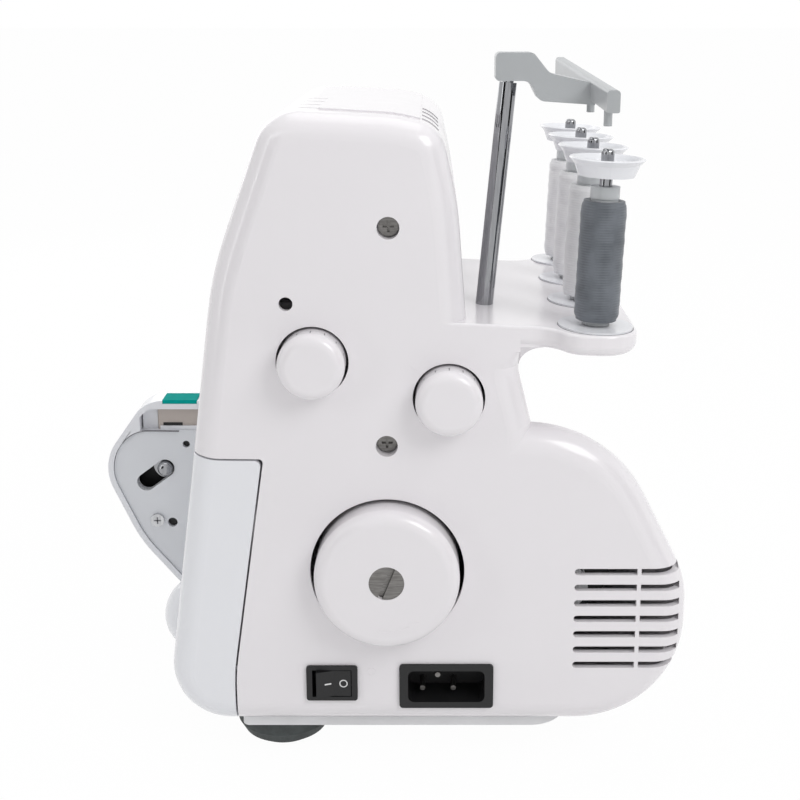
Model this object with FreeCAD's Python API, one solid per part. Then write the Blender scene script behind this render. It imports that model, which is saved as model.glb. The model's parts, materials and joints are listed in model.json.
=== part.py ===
import FreeCAD, Part
import math
import os

Vec = FreeCAD.Vector

# A four-thread overlock machine, seen from its user's side: +X is the handwheel side, -Y the front.
# The origin is on the table, under the middle of the machine. Sizes are in millimetres.

# Widths, from the handwheel side to the left end of the bed
SIDE_X = 120.0
COLUMN_WIDTH = 88.0
HEAD_WIDTH = 165.0
BED_WIDTH = 250.0
RIGHT_COVER_WIDTH = 44.0
COLUMN_LEFT_X = SIDE_X - COLUMN_WIDTH
HEAD_LEFT_X = SIDE_X - HEAD_WIDTH
BED_LEFT_X = SIDE_X - BED_WIDTH
SPLIT_X = SIDE_X - RIGHT_COVER_WIDTH

# Heights
FOOT_HEIGHT = 14.0
BASE_THICKNESS = 4.0
BODY_BOTTOM_Z = FOOT_HEIGHT + BASE_THICKNESS
BED_TOP_Z = 128.0
PLATE_THICKNESS = 3.0
HEAD_UNDER_Z = 176.0
LEDGE_Z = 179.0
HEAD_TOP_Z = 272.0

# Casing walls, edge rounding and the gap round the door
WALL = 2.5
EDGE_ROUND = 10.0
SEAM_GAP = 0.8
FIT = 0.05
SLACK = 0.3

# Side view of the casing: front and back reach
DOOR_TOE_Y = -88.4
DOOR_TOE_ROUND = 24.0
MOTOR_REAR_Y = 127.2
MOTOR_TOP_Z = 146.8
COLUMN_REAR_Y = 57.2
COLUMN_FOOT_Y = 62.4
BULGE_ROOT_Y = 30.0
BULGE_STRAIGHT = 12.0
BULGE_SHRINK = 0.75
HEAD_REAR_Y = 37.0
DOOR_TOP_Z = 134.3
SEAM_FOOT_Y = -58.2

# Rubber feet
FOOT_RADIUS = 20.5
FOOT_INSET = 28.0

# Main shaft, handwheel and motor
SHAFT_Y = 5.0
SHAFT_Z = 87.2
SHAFT_RADIUS = 5.0
WHEEL_RADIUS = 29.1
WHEEL_WIDTH = 24.0
WHEEL_REACH = 11.0
WHEEL_HOLE_RADIUS = 31.1
WHEEL_SCREW_RADIUS = 7.0
WHEEL_SCREW_HEAD = 3.0
BELT_WIDTH = 7.0
BELT_THICKNESS = 1.6
BELT_X = 97.0
SHAFT_PULLEY_RADIUS = 24.0
MOTOR_PULLEY_RADIUS = 8.0
FLANGE_HEIGHT = 2.4
FLANGE_WIDTH = 1.5
MOTOR_Y = 78.0
MOTOR_Z = 72.0
MOTOR_RADIUS = 22.0
MOTOR_FIN_REACH = 24.0
MOTOR_LENGTH = 36.0
MOTOR_SHAFT_RADIUS = 3.0

# Adjusting dials on the side
DIAL_RADIUS = 13.1
DIAL_HOLE_RADIUS = 14.2
DIAL_LENGTH = 22.0
DIAL_REACH = 10.0
DIAL_STEM_RADIUS = 3.0
LENGTH_DIAL_Y = -23.5
LENGTH_DIAL_Z = 174.9
FEED_DIAL_Y = 29.6
FEED_DIAL_Z = 160.1

# Power switch and mains inlet
SWITCH_Y = -18.1
SWITCH_Z = 38.0
SWITCH_LENGTH = 21.0
SWITCH_HEIGHT = 15.4
ROCKER_LENGTH = 14.2
ROCKER_HEIGHT = 11.4
ROCKER_TILT = 8.0
INLET_Y = 28.9
INLET_Z = 36.6
INLET_LENGTH = 38.6
INLET_HEIGHT = 19.4
INLET_RECESS_LENGTH = 31.5
INLET_RECESS_HEIGHT = 14.0
INLET_RECESS_DEPTH = 14.0
INLET_DEPTH = 18.0
INLET_PIN_RADIUS = 1.1
INLET_PIN_LENGTH = 9.0
BEZEL_PROUD = 1.2

# Vents in the motor bulge
VENT_COUNT = 7
VENT_PITCH = 6.85
VENT_HEIGHT = 2.8
VENT_FRONT_Y = 80.6
VENT_TOP_Z = 87.0
VENT_RIB_Y = 106.7
VENT_RIB_WIDTH = 1.6
VENT_WRAP = 14.0

# Screws and holes in the side
SCREW_HEAD_RADIUS = 3.9
SCREW_POCKET_RADIUS = 4.35
SCREW_POCKET_DEPTH = 7.0
SCREW_BOSS_RADIUS = 6.4
SCREW_SPOTS = [(6.3, 227.5), (5.2, 140.5)]
ADJUSTER_HOLE = (-33.2, 198.0)
ADJUSTER_HOLE_RADIUS = 2.7

# Spool tray, spools and thread pole
SPOOL_COUNT = 4
SPOOL_PITCH = 43.0
FIRST_SPOOL_X = 115.0
SPOOL_Y = 86.5
TRAY_LOBE_RADIUS = 16.0
TRAY_HEIGHT = 11.2
TRAY_UNDERCUT = 2.6
TRAY_UNDER_ROUND = 4.0
TRAY_TOP_ROUND = 1.2
TRAY_NECK_WIDTH = 130.0
TRAY_ROOT_DEPTH = 14.0
TRAY_GUSSET_RADIUS = 9.0
LEAN_DEGREES = 2.4
REST_RADIUS = 14.5
REST_THICKNESS = 0.8
PIN_RADIUS = 2.5
PIN_LENGTH = 69.0
CORE_RADIUS = 5.3
THREAD_RADIUS = 8.9
THREAD_START = 1.8
THREAD_LENGTH = 46.5
SPOOL_LENGTH = 53.7
COLLAR_RADIUS = 5.6
CAP_RIM_RADIUS = 14.5
CAP_FOOT_RADIUS = 10.7
CAP_HEIGHT = 7.0
CAP_DISH = 2.0
CAP_GAP = 3.9
POLE_X = 84.0
POLE_Y = 44.6
POLE_LEAN_DEGREES = 5.4
POLE_RADIUS = 3.6
POLE_BORE_RADIUS = 2.3
POLE_TOP = 90.2
POLE_ROOT = 44.0
GUIDE_BLOCK_HEIGHT = 11.0
GUIDE_BLOCK_WIDTH = 12.0
GUIDE_BAR_LENGTH = 152.0
GUIDE_BAR_DEPTH = 4.9
GUIDE_BAR_HEIGHT = 8.3
GUIDE_BAR_Y = 88.6
GUIDE_BAR_RISE = 2.3
GUIDE_BAR_TURN = 1.5
GUIDE_PEG_RADIUS = 1.6
GUIDE_PEG_LENGTH = 6.0

# Tension wheels and thread slots in the head
TENSION_X = [100.0, 83.0, 66.0, 49.0]
TENSION_Z = 222.0
TENSION_Y = -43.4
TENSION_RADIUS = 14.0
TENSION_WIDTH = 9.0
TENSION_SHAFT_RADIUS = 2.5
THREAD_SLOT_WIDTH = 1.6
NOTCH_WIDTH = 8.0
TOP_PLATE_THICKNESS = 0.7
TOP_PLATE_FRONT_Y = -20.5
TOP_PLATE_REAR_Y = 18.5
TOP_PLATE_INSET = 14.0

# Frame inside the casing
SLAB_THICKNESS = 6.0
POST_X = 46.0
MOTOR_WALL_X = POST_X - 2.0
MOTOR_WALL_THICKNESS = 6.0
POST_WIDTH = 14.0
POST_FRONT_Y = -14.0
POST_REAR_Y = 24.0
ARM_BOTTOM_Z = 206.0
ARM_HEIGHT = 30.0
LOOPER_WALL_Y = -28.0
LOOPER_WALL_THICKNESS = 8.0

# Needle, presser and cutting parts
NEEDLE_X = -20.0
NEEDLE_Y = -36.0
NEEDLE_BAR_RADIUS = 3.5
CLAMP_HEIGHT = 8.5
NEEDLE_RADIUS = 0.8
NEEDLE_SPACING = 5.0
NEEDLE_LENGTH = 27.0
PRESSER_Y = -8.0
PRESSER_BAR_RADIUS = 3.0
FOOT_SOLE_THICKNESS = 2.3
LEVER_Y = 22.0
LEVER_Z = 186.0
LEVER_HUB_RADIUS = 6.0
LEVER_PIN_RADIUS = 2.0
KNIFE_X = 2.6
LOOPER_Z = 62.0
LOWER_LOOPER_X = -18.0
UPPER_LOOPER_X = 17.0
LOOPER_SHAFT_RADIUS = 4.0
FEED_CLEARANCE = 3.0

# Front door, its pod and its hinge
HINGE_Y = -62.2
HINGE_Z = 20.9
HINGE_RADIUS = 1.5
HINGE_EYE_RADIUS = 3.1
HINGE_EYES_X = [92.0, -86.0]
HINGE_EYE_WIDTH = 6.0
KNUCKLES_X = [72.0, -106.0]
KNUCKLE_WIDTH = 9.0
DOOR_SLIDE = 8.0
POD_LEFT_X = -46.0
POD_STRAIGHT = 14.0
POD_SHRINK = 0.62
POD_PLATE_THICKNESS = 2.0
POD_RIM = 1.0
POD_WINDOW_Z = 116.3
PLATE_SCREW = (-107.0, 71.8)
SLOT_TOP = (-102.3, 97.6)
SLOT_FOOT = (-111.6, 90.7)
SLOT_HALF_WIDTH = 4.3
LATCH_RADIUS = 3.6
GRIP_X = 66.0
GRIP_Z = 42.0
GRIP_RADIUS = 17.0
GRIP_SINK = 8.0


def box(x0, x1, y0, y1, z0, z1):
    """Block between two corners."""
    return Part.makeBox(x1 - x0, y1 - y0, z1 - z0, Vec(x0, y0, z0))


def rod_x(x0, x1, y, z, radius):
    """Round bar along X."""
    return Part.makeCylinder(radius, x1 - x0, Vec(x0, y, z), Vec(1, 0, 0))


def rod_y(x, y0, y1, z, radius):
    """Round bar along Y."""
    return Part.makeCylinder(radius, y1 - y0, Vec(x, y0, z), Vec(0, 1, 0))


def rod_z(x, y, z0, z1, radius):
    """Upright round bar."""
    return Part.makeCylinder(radius, z1 - z0, Vec(x, y, z0))


def unit(a, b):
    """Direction of (a, b)."""
    size = math.hypot(a, b)
    return a / size, b / size


def corners(points):
    """Each outline point with the directions of the side that comes in and the side that leaves."""
    for i, point in enumerate(points):
        before = points[i - 1]
        after = points[(i + 1) % len(points)]
        arrive = unit(point[0] - before[0], point[1] - before[1])
        leave = unit(after[0] - point[0], after[1] - point[1])
        yield point, arrive, leave


def inset(points, distance):
    """The anticlockwise outline moved inwards by a distance, or outwards by a negative one."""
    moved = []
    for (a, b, radius), arrive, leave in corners(points):
        share = distance / (1 + arrive[0] * leave[0] + arrive[1] * leave[1])
        turn = arrive[0] * leave[1] - arrive[1] * leave[0]
        new_radius = radius - math.copysign(distance, turn) if radius else 0
        across = -(arrive[1] + leave[1]) * share
        up = (arrive[0] + leave[0]) * share
        moved.append((a + across, b + up, max(0, new_radius)))
    return moved


def rounded_face(points, place):
    """Flat face inside an outline of (a, b, corner radius) points, put in space by place(a, b)."""
    edges = []
    ends = []
    for (a, b, radius), arrive, leave in corners(points):
        angle = math.acos(max(-1, min(1, arrive[0] * leave[0] + arrive[1] * leave[1])))
        if radius < 0.01 or angle < 0.001:
            ends.append((place(a, b), None, place(a, b)))
            continue
        reach = radius * math.tan(angle / 2)
        bulge = radius / math.cos(angle / 2) - radius
        inward = unit(leave[0] - arrive[0], leave[1] - arrive[1])
        start = place(a - arrive[0] * reach, b - arrive[1] * reach)
        middle = place(a + inward[0] * bulge, b + inward[1] * bulge)
        end = place(a + leave[0] * reach, b + leave[1] * reach)
        ends.append((start, middle, end))
    for i, (start, middle, end) in enumerate(ends):
        if middle:
            edges.append(Part.Arc(start, middle, end).toShape())
        following = ends[(i + 1) % len(ends)][0]
        if end.distanceToPoint(following) > 0.001:
            edges.append(Part.makeLine(end, following))
    return Part.Face(Part.Wire(edges))


def prism_x(points, x0, x1):
    """Side-view outline of (y, z, corner radius) points, drawn out along X."""
    face = rounded_face(points, lambda a, b: Vec(x0, a, b))
    return face.extrude(Vec(x1 - x0, 0, 0))


def prism_y(points, y0, y1):
    """Front-view outline of (x, z, corner radius) points, drawn out along Y."""
    face = rounded_face(points, lambda a, b: Vec(a, y0, b))
    return face.extrude(Vec(0, y1 - y0, 0))


def prism_z(points, z0, z1):
    """Plan outline of (x, y, corner radius) points, drawn out along Z."""
    face = rounded_face(points, lambda a, b: Vec(a, b, z0))
    return face.extrude(Vec(0, 0, z1 - z0))


def turned(profile, spot, axis):
    """Solid of revolution from (radius, height) points, standing at spot along axis."""
    wire = Part.makePolygon([Vec(r, 0, h) for r, h in profile + profile[:1]])
    solid = Part.Face(wire).revolve(Vec(0, 0, 0), Vec(0, 0, 1), 360)
    solid.Placement = FreeCAD.Placement(Vec(*spot), FreeCAD.Rotation(Vec(0, 0, 1), Vec(*axis)))
    return solid


def fused(shapes):
    """One solid from overlapping or touching shapes."""
    return shapes[0].fuse(shapes[1:]).removeSplitter()


def leaned(shape, spot, degrees):
    """Shape tipped backwards about an X line through spot."""
    tipped = shape.copy()
    tipped.rotate(Vec(*spot), Vec(1, 0, 0), -degrees)
    return tipped


def round_edges_at(solid, x, radius):
    """Round the outline edges of the end face at x, leaving the ledge for the tray square."""
    chosen = []
    for edge in solid.Edges:
        flat = edge.BoundBox.XMax - edge.BoundBox.XMin < 0.001
        on_end = abs(edge.BoundBox.XMin - x) < 0.001
        on_ledge = abs(edge.BoundBox.ZMin - LEDGE_Z) < WALL + 0.1 and edge.BoundBox.ZLength < 0.001
        if flat and on_end and not on_ledge:
            chosen.append(edge)
    return solid.makeFillet(radius, chosen)


def casing_outline():
    """Side view of the column and head, anticlockwise from the toe of the door."""
    return [
        (DOOR_TOE_Y, BODY_BOTTOM_Z, DOOR_TOE_ROUND),
        (COLUMN_FOOT_Y, BODY_BOTTOM_Z, 0),
        (COLUMN_FOOT_Y, MOTOR_TOP_Z + 1.0, 0),
        (COLUMN_REAR_Y, LEDGE_Z - 10.0, 6.0),
        (COLUMN_REAR_Y, LEDGE_Z, 0),
        (HEAD_REAR_Y, LEDGE_Z, 0),
        (HEAD_REAR_Y - 4.0, 236.0, 150.0),
        (HEAD_REAR_Y - 10.5, HEAD_TOP_Z - 7.0, 14.0),
        (10.0, HEAD_TOP_Z - 2.8, 60.0),
        (-39.6, HEAD_TOP_Z, 18.0),
        (-62.75, 207.6, 150.0),
    ]


def head_outline():
    """Side view of the head left of the column."""
    outline = casing_outline()
    front = outline[-1]
    slope = (front[0] - DOOR_TOE_Y) / (front[1] - BODY_BOTTOM_Z)
    under_front_y = DOOR_TOE_Y + slope * (HEAD_UNDER_Z - BODY_BOTTOM_Z)
    return [
        (under_front_y, HEAD_UNDER_Z, EDGE_ROUND + 2.0),
        (HEAD_REAR_Y, HEAD_UNDER_Z, EDGE_ROUND + 2.0),
    ] + outline[6:]


def bulge_outline():
    """Side view of the motor bulge behind the column."""
    return [
        (BULGE_ROOT_Y, BODY_BOTTOM_Z, 0),
        (MOTOR_REAR_Y, BODY_BOTTOM_Z, 45.0),
        (MOTOR_REAR_Y, 80.6, 40.0),
        (93.8, MOTOR_TOP_Z, 55.0),
        (BULGE_ROOT_Y, MOTOR_TOP_Z, 0),
    ]


def bulge_block(margin):
    """Motor bulge, full at the handwheel side and tapering to the left, drawn in by a margin."""
    outline = inset(bulge_outline(), margin)
    start = SIDE_X - BULGE_STRAIGHT
    side = SIDE_X - margin
    slab = prism_x(outline, start, side)
    rim = [edge for edge in slab.Edges
           if edge.BoundBox.XMin > side - 0.001 and edge.BoundBox.YMax > BULGE_ROOT_Y + margin + 1.0]
    slab = slab.makeFillet(EDGE_ROUND - margin, rim)

    def shrunk(a, b):
        return Vec(COLUMN_LEFT_X + margin, BULGE_ROOT_Y + (a - BULGE_ROOT_Y) * BULGE_SHRINK,
                   BODY_BOTTOM_Z + (b - BODY_BOTTOM_Z) * BULGE_SHRINK)

    near = rounded_face(outline, lambda a, b: Vec(start, a, b))
    far = rounded_face(outline, shrunk)
    taper = Part.makeLoft([near.OuterWire, far.OuterWire], True, False)
    return fused([slab, taper])


def door_outline():
    """Side view of the space that the front door takes, up to the seam with the casing."""
    front_y = DOOR_TOE_Y - 20.0
    return [
        (front_y, 0.0, 0),
        (SEAM_FOOT_Y, 0.0, 0),
        (SEAM_FOOT_Y, BODY_BOTTOM_Z + 24.0, 90.0),
        (SEAM_FOOT_Y + 13.7, DOOR_TOP_Z, 2.5),
        (SEAM_FOOT_Y - 3.8, DOOR_TOP_Z + 0.2, 30.0),
        (SEAM_FOOT_Y - 14.8, DOOR_TOP_Z + 1.5, 0),
        (front_y, DOOR_TOP_Z + 3.0, 0),
    ]


def right_block(margin):
    """Rounded block of the right half of the casing, drawn in by a margin."""
    split = SPLIT_X - margin
    solid = prism_x(inset(casing_outline(), margin), split, SIDE_X - margin)
    solid = round_edges_at(solid, SIDE_X - margin, EDGE_ROUND - margin)
    bulge = bulge_block(margin).common(box(split, SIDE_X, 0.0, 200.0, 0.0, 200.0))
    return fused([solid, bulge])


def left_block(margin):
    """Rounded block of the left half of the casing and the head."""
    column_left = COLUMN_LEFT_X + margin
    head_left = HEAD_LEFT_X + margin
    column = prism_x(inset(casing_outline(), margin), column_left, SPLIT_X + margin)
    column = round_edges_at(column, column_left, EDGE_ROUND - margin)
    head = prism_x(inset(head_outline(), margin), head_left, COLUMN_LEFT_X + EDGE_ROUND + 2.0)
    edges = [edge for edge in head.Edges if abs(edge.BoundBox.XMax - head_left) < 0.001]
    head = head.makeFillet(EDGE_ROUND - margin, edges)
    bulge = bulge_block(margin).common(box(COLUMN_LEFT_X, SPLIT_X + margin, 0.0, 200.0, 0.0, 200.0))
    return fused([column, head, bulge])


def door_space(margin):
    """Block that clears the front door, with a margin round it."""
    return prism_x(inset(door_outline(), -margin), BED_LEFT_X - 20.0, SIDE_X + 20.0)


def thread_cuts():
    """Thread slots over the front of the head and thread notches at the back of its top."""
    cuts = []
    for x in TENSION_X:
        half = THREAD_SLOT_WIDTH / 2
        cuts.append(box(x - half, x + half, -60.0, TOP_PLATE_FRONT_Y, HEAD_TOP_Z - 24.0, HEAD_TOP_Z + 5.0))
        half = NOTCH_WIDTH / 2
        cuts.append(box(x - half, x + half, TOP_PLATE_REAR_Y + 0.5, 25.5, HEAD_TOP_Z - 12.0,
                        HEAD_TOP_Z + 5.0))
        half = TENSION_WIDTH / 2 + SLACK * 2
        reach = TENSION_RADIUS - 1.5
        cuts.append(box(x - half, x + half, -75.0, TENSION_Y, TENSION_Z - reach, TENSION_Z + reach))
    return cuts


def vent_cuts():
    """Slots through the side and round the rear corner of the motor bulge, split by an upright rib."""
    cuts = []
    half = VENT_HEIGHT / 2
    rear = MOTOR_REAR_Y - 3.5
    for i in range(VENT_COUNT):
        z = VENT_TOP_Z - i * VENT_PITCH
        x0 = SIDE_X - VENT_WRAP
        x1 = SIDE_X + 1.0
        front = box(x0, x1, VENT_FRONT_Y + half, VENT_RIB_Y - VENT_RIB_WIDTH / 2, z - half, z + half)
        cuts.append(front.fuse(rod_x(x0, x1, VENT_FRONT_Y + half, z, half)))
        cuts.append(box(x0, x1, VENT_RIB_Y + VENT_RIB_WIDTH / 2, rear, z - half, z + half))
    return cuts


def right_casing():
    """Right cover: side wall with its holes, and the rounded walls round it."""
    shell = right_block(0).cut(door_space(SEAM_GAP))
    shell = shell.cut(right_block(WALL).cut(door_space(SEAM_GAP + WALL)))
    x0 = SIDE_X - SCREW_POCKET_DEPTH
    bosses = [rod_x(x0 - WALL, SIDE_X - 1.0, y, z, SCREW_BOSS_RADIUS) for y, z in SCREW_SPOTS]
    shell = fused([shell] + bosses)
    outside = SIDE_X + 1.0
    cuts = thread_cuts() + vent_cuts()
    for y, z in SCREW_SPOTS:
        cuts.append(rod_x(x0, outside, y, z, SCREW_POCKET_RADIUS))
        cuts.append(rod_x(x0 - WALL - 1.0, outside, y, z, SCREW_HEAD_RADIUS / 2 + FIT))
    deep = SIDE_X - WALL - 1.0
    cuts.append(rod_x(deep, outside, SHAFT_Y, SHAFT_Z, WHEEL_HOLE_RADIUS))
    cuts.append(rod_x(deep, outside, LENGTH_DIAL_Y, LENGTH_DIAL_Z, DIAL_HOLE_RADIUS))
    cuts.append(rod_x(deep, outside, FEED_DIAL_Y, FEED_DIAL_Z, DIAL_HOLE_RADIUS))
    cuts.append(rod_x(deep, outside, ADJUSTER_HOLE[0], ADJUSTER_HOLE[1], ADJUSTER_HOLE_RADIUS))
    cuts.append(switch_body(0).common(box(deep, outside, -80.0, 80.0, 0.0, 80.0)))
    cuts.append(inlet_body().common(box(deep, outside, -80.0, 80.0, 0.0, 80.0)))
    cuts.append(pole_lean(rod_z(POLE_X, POLE_Y, LEDGE_Z - 15.0, LEDGE_Z + 15.0, POLE_RADIUS + SLACK)))
    return shell.cut(cuts)


def left_casing():
    """Left cover: the rest of the column with the head that hangs over the bed."""
    shell = left_block(0).cut(door_space(SEAM_GAP))
    shell = shell.cut(left_block(WALL).cut(door_space(SEAM_GAP + WALL)))
    wall_x = COLUMN_LEFT_X + EDGE_ROUND + 1.0
    window_top = BED_TOP_Z - 12.0
    cuts = thread_cuts()
    cuts.append(box(COLUMN_LEFT_X - 1.0, wall_x, -40.0, 46.0, BODY_BOTTOM_Z + WALL, window_top))
    under = HEAD_UNDER_Z - 1.0
    inside = HEAD_UNDER_Z + WALL + 1.0
    cuts.append(rod_z(NEEDLE_X, NEEDLE_Y, under, inside, NEEDLE_BAR_RADIUS + 2.0))
    cuts.append(rod_z(NEEDLE_X, PRESSER_Y, under, inside, PRESSER_BAR_RADIUS + 2.0))
    cuts.append(box(-36.5, -26.0, HEAD_REAR_Y - 10.0, HEAD_REAR_Y + 2.0, under, HEAD_UNDER_Z + 30.0))
    return shell.cut(cuts)


def top_plate():
    """Thin plate that follows the top of the head."""
    skin = prism_x(inset(casing_outline(), -TOP_PLATE_THICKNESS), HEAD_LEFT_X + TOP_PLATE_INSET,
                   SIDE_X - TOP_PLATE_INSET)
    band = box(HEAD_LEFT_X, SIDE_X, TOP_PLATE_FRONT_Y, TOP_PLATE_REAR_Y, HEAD_TOP_Z - 20.0, HEAD_TOP_Z + 9.0)
    return skin.common(band).cut(prism_x(casing_outline(), HEAD_LEFT_X, SIDE_X))


def base_plate():
    """Base plate with the two hinge eyes of the door."""
    z0 = FOOT_HEIGHT
    z1 = BODY_BOTTOM_Z
    inset_x = 7.0
    front = SEAM_FOOT_Y + 1.5
    plate = prism_z([
        (BED_LEFT_X + inset_x, front, 3.0),
        (SIDE_X - inset_x, front, 3.0),
        (SIDE_X - inset_x, 80.0, 16.0),
        (COLUMN_LEFT_X + 10.0, 80.0, 16.0),
        (COLUMN_LEFT_X - 8.0, 52.0, 10.0),
        (BED_LEFT_X + inset_x, 52.0, 14.0),
    ], z0, z1)
    eyes = [hinge_eye(x, x + HINGE_EYE_WIDTH, front + 2.0, z0) for x in HINGE_EYES_X]
    holes = [rod_x(x - 1.0, x + HINGE_EYE_WIDTH + 1.0, HINGE_Y, HINGE_Z,
                   HINGE_RADIUS + FIT) for x in HINGE_EYES_X]
    return fused([plate] + eyes).cut(holes)


def hinge_eye(x0, x1, back_y, foot_z):
    """Upright eye in front of the base plate for the hinge rod."""
    radius = HINGE_EYE_RADIUS
    stem = box(x0, x1, HINGE_Y - radius, back_y, foot_z, BODY_BOTTOM_Z - 0.5)
    upright = box(x0, x1, HINGE_Y - radius, HINGE_Y + radius, foot_z, HINGE_Z)
    return stem.fuse([upright, rod_x(x0, x1, HINGE_Y, HINGE_Z, radius)])


def rubber_feet():
    """Four flat dome feet under the base plate."""
    profile = [(0, 0), (9.0, 0), (14.0, 1.2), (18.0, 4.0), (FOOT_RADIUS, 8.5), (FOOT_RADIUS, FOOT_HEIGHT),
               (0, FOOT_HEIGHT)]
    right = SIDE_X - FOOT_INSET
    left = BED_LEFT_X + FOOT_INSET
    spots = [(right, -41.0), (right - 28.0, 56.0), (left, -34.0), (left, 30.0)]
    return [turned(profile, (x, y, 0), (0, 0, 1)) for x, y in spots]


def frame_casting():
    """Cast frame: slab, post, arm over the bed, shaft bearings and the looper wall."""
    z0 = BODY_BOTTOM_Z + WALL
    z1 = z0 + SLAB_THICKNESS
    post_right = POST_X + POST_WIDTH
    arm_top = ARM_BOTTOM_Z + ARM_HEIGHT
    slab = box(-62.0, post_right, -36.0, 44.0, z0, z1)
    motor_foot = box(MOTOR_WALL_X, POST_X + 10.0, 40.0, MOTOR_Y - 3.0, z0, z1)
    motor_wall = prism_x([(MOTOR_Y - 24.0, z0, 0), (MOTOR_Y - 3.0, z0, 0), (MOTOR_Y + 14.0, z0 + 18.0, 8.0),
                          (MOTOR_Y + 18.0, MOTOR_Z, 12.0), (MOTOR_Y, MOTOR_Z + 20.0, 14.0),
                          (MOTOR_Y - 24.0, MOTOR_Z, 12.0)], MOTOR_WALL_X, MOTOR_WALL_X + MOTOR_WALL_THICKNESS)
    post = prism_x([(POST_FRONT_Y, z0, 0), (POST_REAR_Y, z0, 0), (POST_REAR_Y, arm_top, 8.0),
                    (POST_FRONT_Y, arm_top, 8.0)], POST_X, post_right)
    bearing = prism_x([(SHAFT_Y - 22.0, z0, 0), (SHAFT_Y + 22.0, z0, 0), (SHAFT_Y + 12.0, SHAFT_Z + 13.0,
                                                                          12.0),
                       (SHAFT_Y - 12.0, SHAFT_Z + 13.0, 12.0)], -56.0, -46.0)
    arm = prism_z([(NEEDLE_X - 18.0, POST_FRONT_Y, 0), (NEEDLE_X - 12.0, POST_FRONT_Y, 4.0),
                   (NEEDLE_X - 12.0, NEEDLE_Y - 13.0, 8.0), (NEEDLE_X + 12.0, NEEDLE_Y - 13.0, 8.0),
                   (NEEDLE_X + 12.0, POST_FRONT_Y, 4.0), (post_right, POST_FRONT_Y, 0),
                   (post_right, POST_REAR_Y, 0), (NEEDLE_X - 18.0, POST_REAR_Y, 6.0)],
                  ARM_BOTTOM_Z, arm_top)
    lever_lug = box(NEEDLE_X - 18.0, NEEDLE_X - 14.4, LEVER_Y - 8.0, POST_REAR_Y, LEVER_Z - 6.5,
                    ARM_BOTTOM_Z + 1.0)
    lever_pin = rod_x(NEEDLE_X - 15.0, NEEDLE_X - 7.5, LEVER_Y, LEVER_Z, LEVER_PIN_RADIUS)
    dial_plate = prism_x([(LENGTH_DIAL_Y - 8.0, FEED_DIAL_Z - 8.0, 4.0), (FEED_DIAL_Y + 8.0,
                                                                          FEED_DIAL_Z - 8.0, 4.0),
                          (FEED_DIAL_Y + 8.0, FEED_DIAL_Z + 8.0, 4.0), (LENGTH_DIAL_Y + 24.0,
                                                                        LENGTH_DIAL_Z + 8.0, 4.0),
                          (LENGTH_DIAL_Y - 8.0, LENGTH_DIAL_Z + 8.0, 4.0)], post_right - 1.0,
                          post_right + 6.0)
    wall = box(-40.0, 28.0, LOOPER_WALL_Y, LOOPER_WALL_Y + LOOPER_WALL_THICKNESS, z0, LOOPER_Z + 14.0)
    knife_guide = box(KNIFE_X + 1.0, KNIFE_X + 9.0, NEEDLE_Y - 4.0, LOOPER_WALL_Y + 1.0, z1, LOOPER_Z + 14.0)
    frame = fused([slab, motor_foot, motor_wall, post, bearing, arm, lever_lug, lever_pin, dial_plate, wall,
                   knife_guide])
    back = LOOPER_WALL_Y + LOOPER_WALL_THICKNESS + 1.0
    return frame.cut([
        rod_x(-70.0, post_right + 10.0, SHAFT_Y, SHAFT_Z, SHAFT_RADIUS + FIT),
        rod_z(NEEDLE_X, NEEDLE_Y, ARM_BOTTOM_Z - 1.0, arm_top + 1.0, NEEDLE_BAR_RADIUS + FIT),
        rod_z(NEEDLE_X, PRESSER_Y, ARM_BOTTOM_Z - 1.0, arm_top + 1.0, PRESSER_BAR_RADIUS + FIT),
        rod_x(post_right - 2.0, post_right + 7.0, LENGTH_DIAL_Y, LENGTH_DIAL_Z, DIAL_STEM_RADIUS + FIT),
        rod_x(post_right - 2.0, post_right + 7.0, FEED_DIAL_Y, FEED_DIAL_Z, DIAL_STEM_RADIUS + FIT),
        rod_x(NEEDLE_X + 6.0, NEEDLE_X + 13.0, TENSION_Y, TENSION_Z, TENSION_SHAFT_RADIUS),
        rod_y(LOWER_LOOPER_X, LOOPER_WALL_Y - 1.0, back, LOOPER_Z, LOOPER_SHAFT_RADIUS + FIT),
        rod_y(UPPER_LOOPER_X, LOOPER_WALL_Y - 1.0, back, LOOPER_Z, LOOPER_SHAFT_RADIUS + FIT),
        rod_x(MOTOR_WALL_X - 1.0, MOTOR_WALL_X + 9.0, MOTOR_Y, MOTOR_Z, MOTOR_SHAFT_RADIUS + 1.0),
    ])


def bed_casing():
    """Lower casing left of the column, open at the front, the top and towards the column."""
    right = COLUMN_LEFT_X
    front = SEAM_FOOT_Y + 13.7 + SEAM_GAP
    rear = 58.0
    top = BED_TOP_Z - PLATE_THICKNESS
    plan = [(right, front, 0), (right, rear, 0), (BED_LEFT_X, rear, 16.0), (BED_LEFT_X, front, 0)]
    inner = [(right + 9.0, front - 9.0, 0), (right + 9.0, rear - WALL, 0),
             (BED_LEFT_X + WALL, rear - WALL, 13.5), (BED_LEFT_X + WALL, front - 9.0, 0)]
    shell = prism_z(plan, BODY_BOTTOM_Z, top).cut(prism_z(inner, BODY_BOTTOM_Z + WALL, top + 1.0))
    rib = box(-76.0, -76.0 + WALL, front, rear - WALL, BODY_BOTTOM_Z, top)
    return fused([shell, rib])


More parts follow.
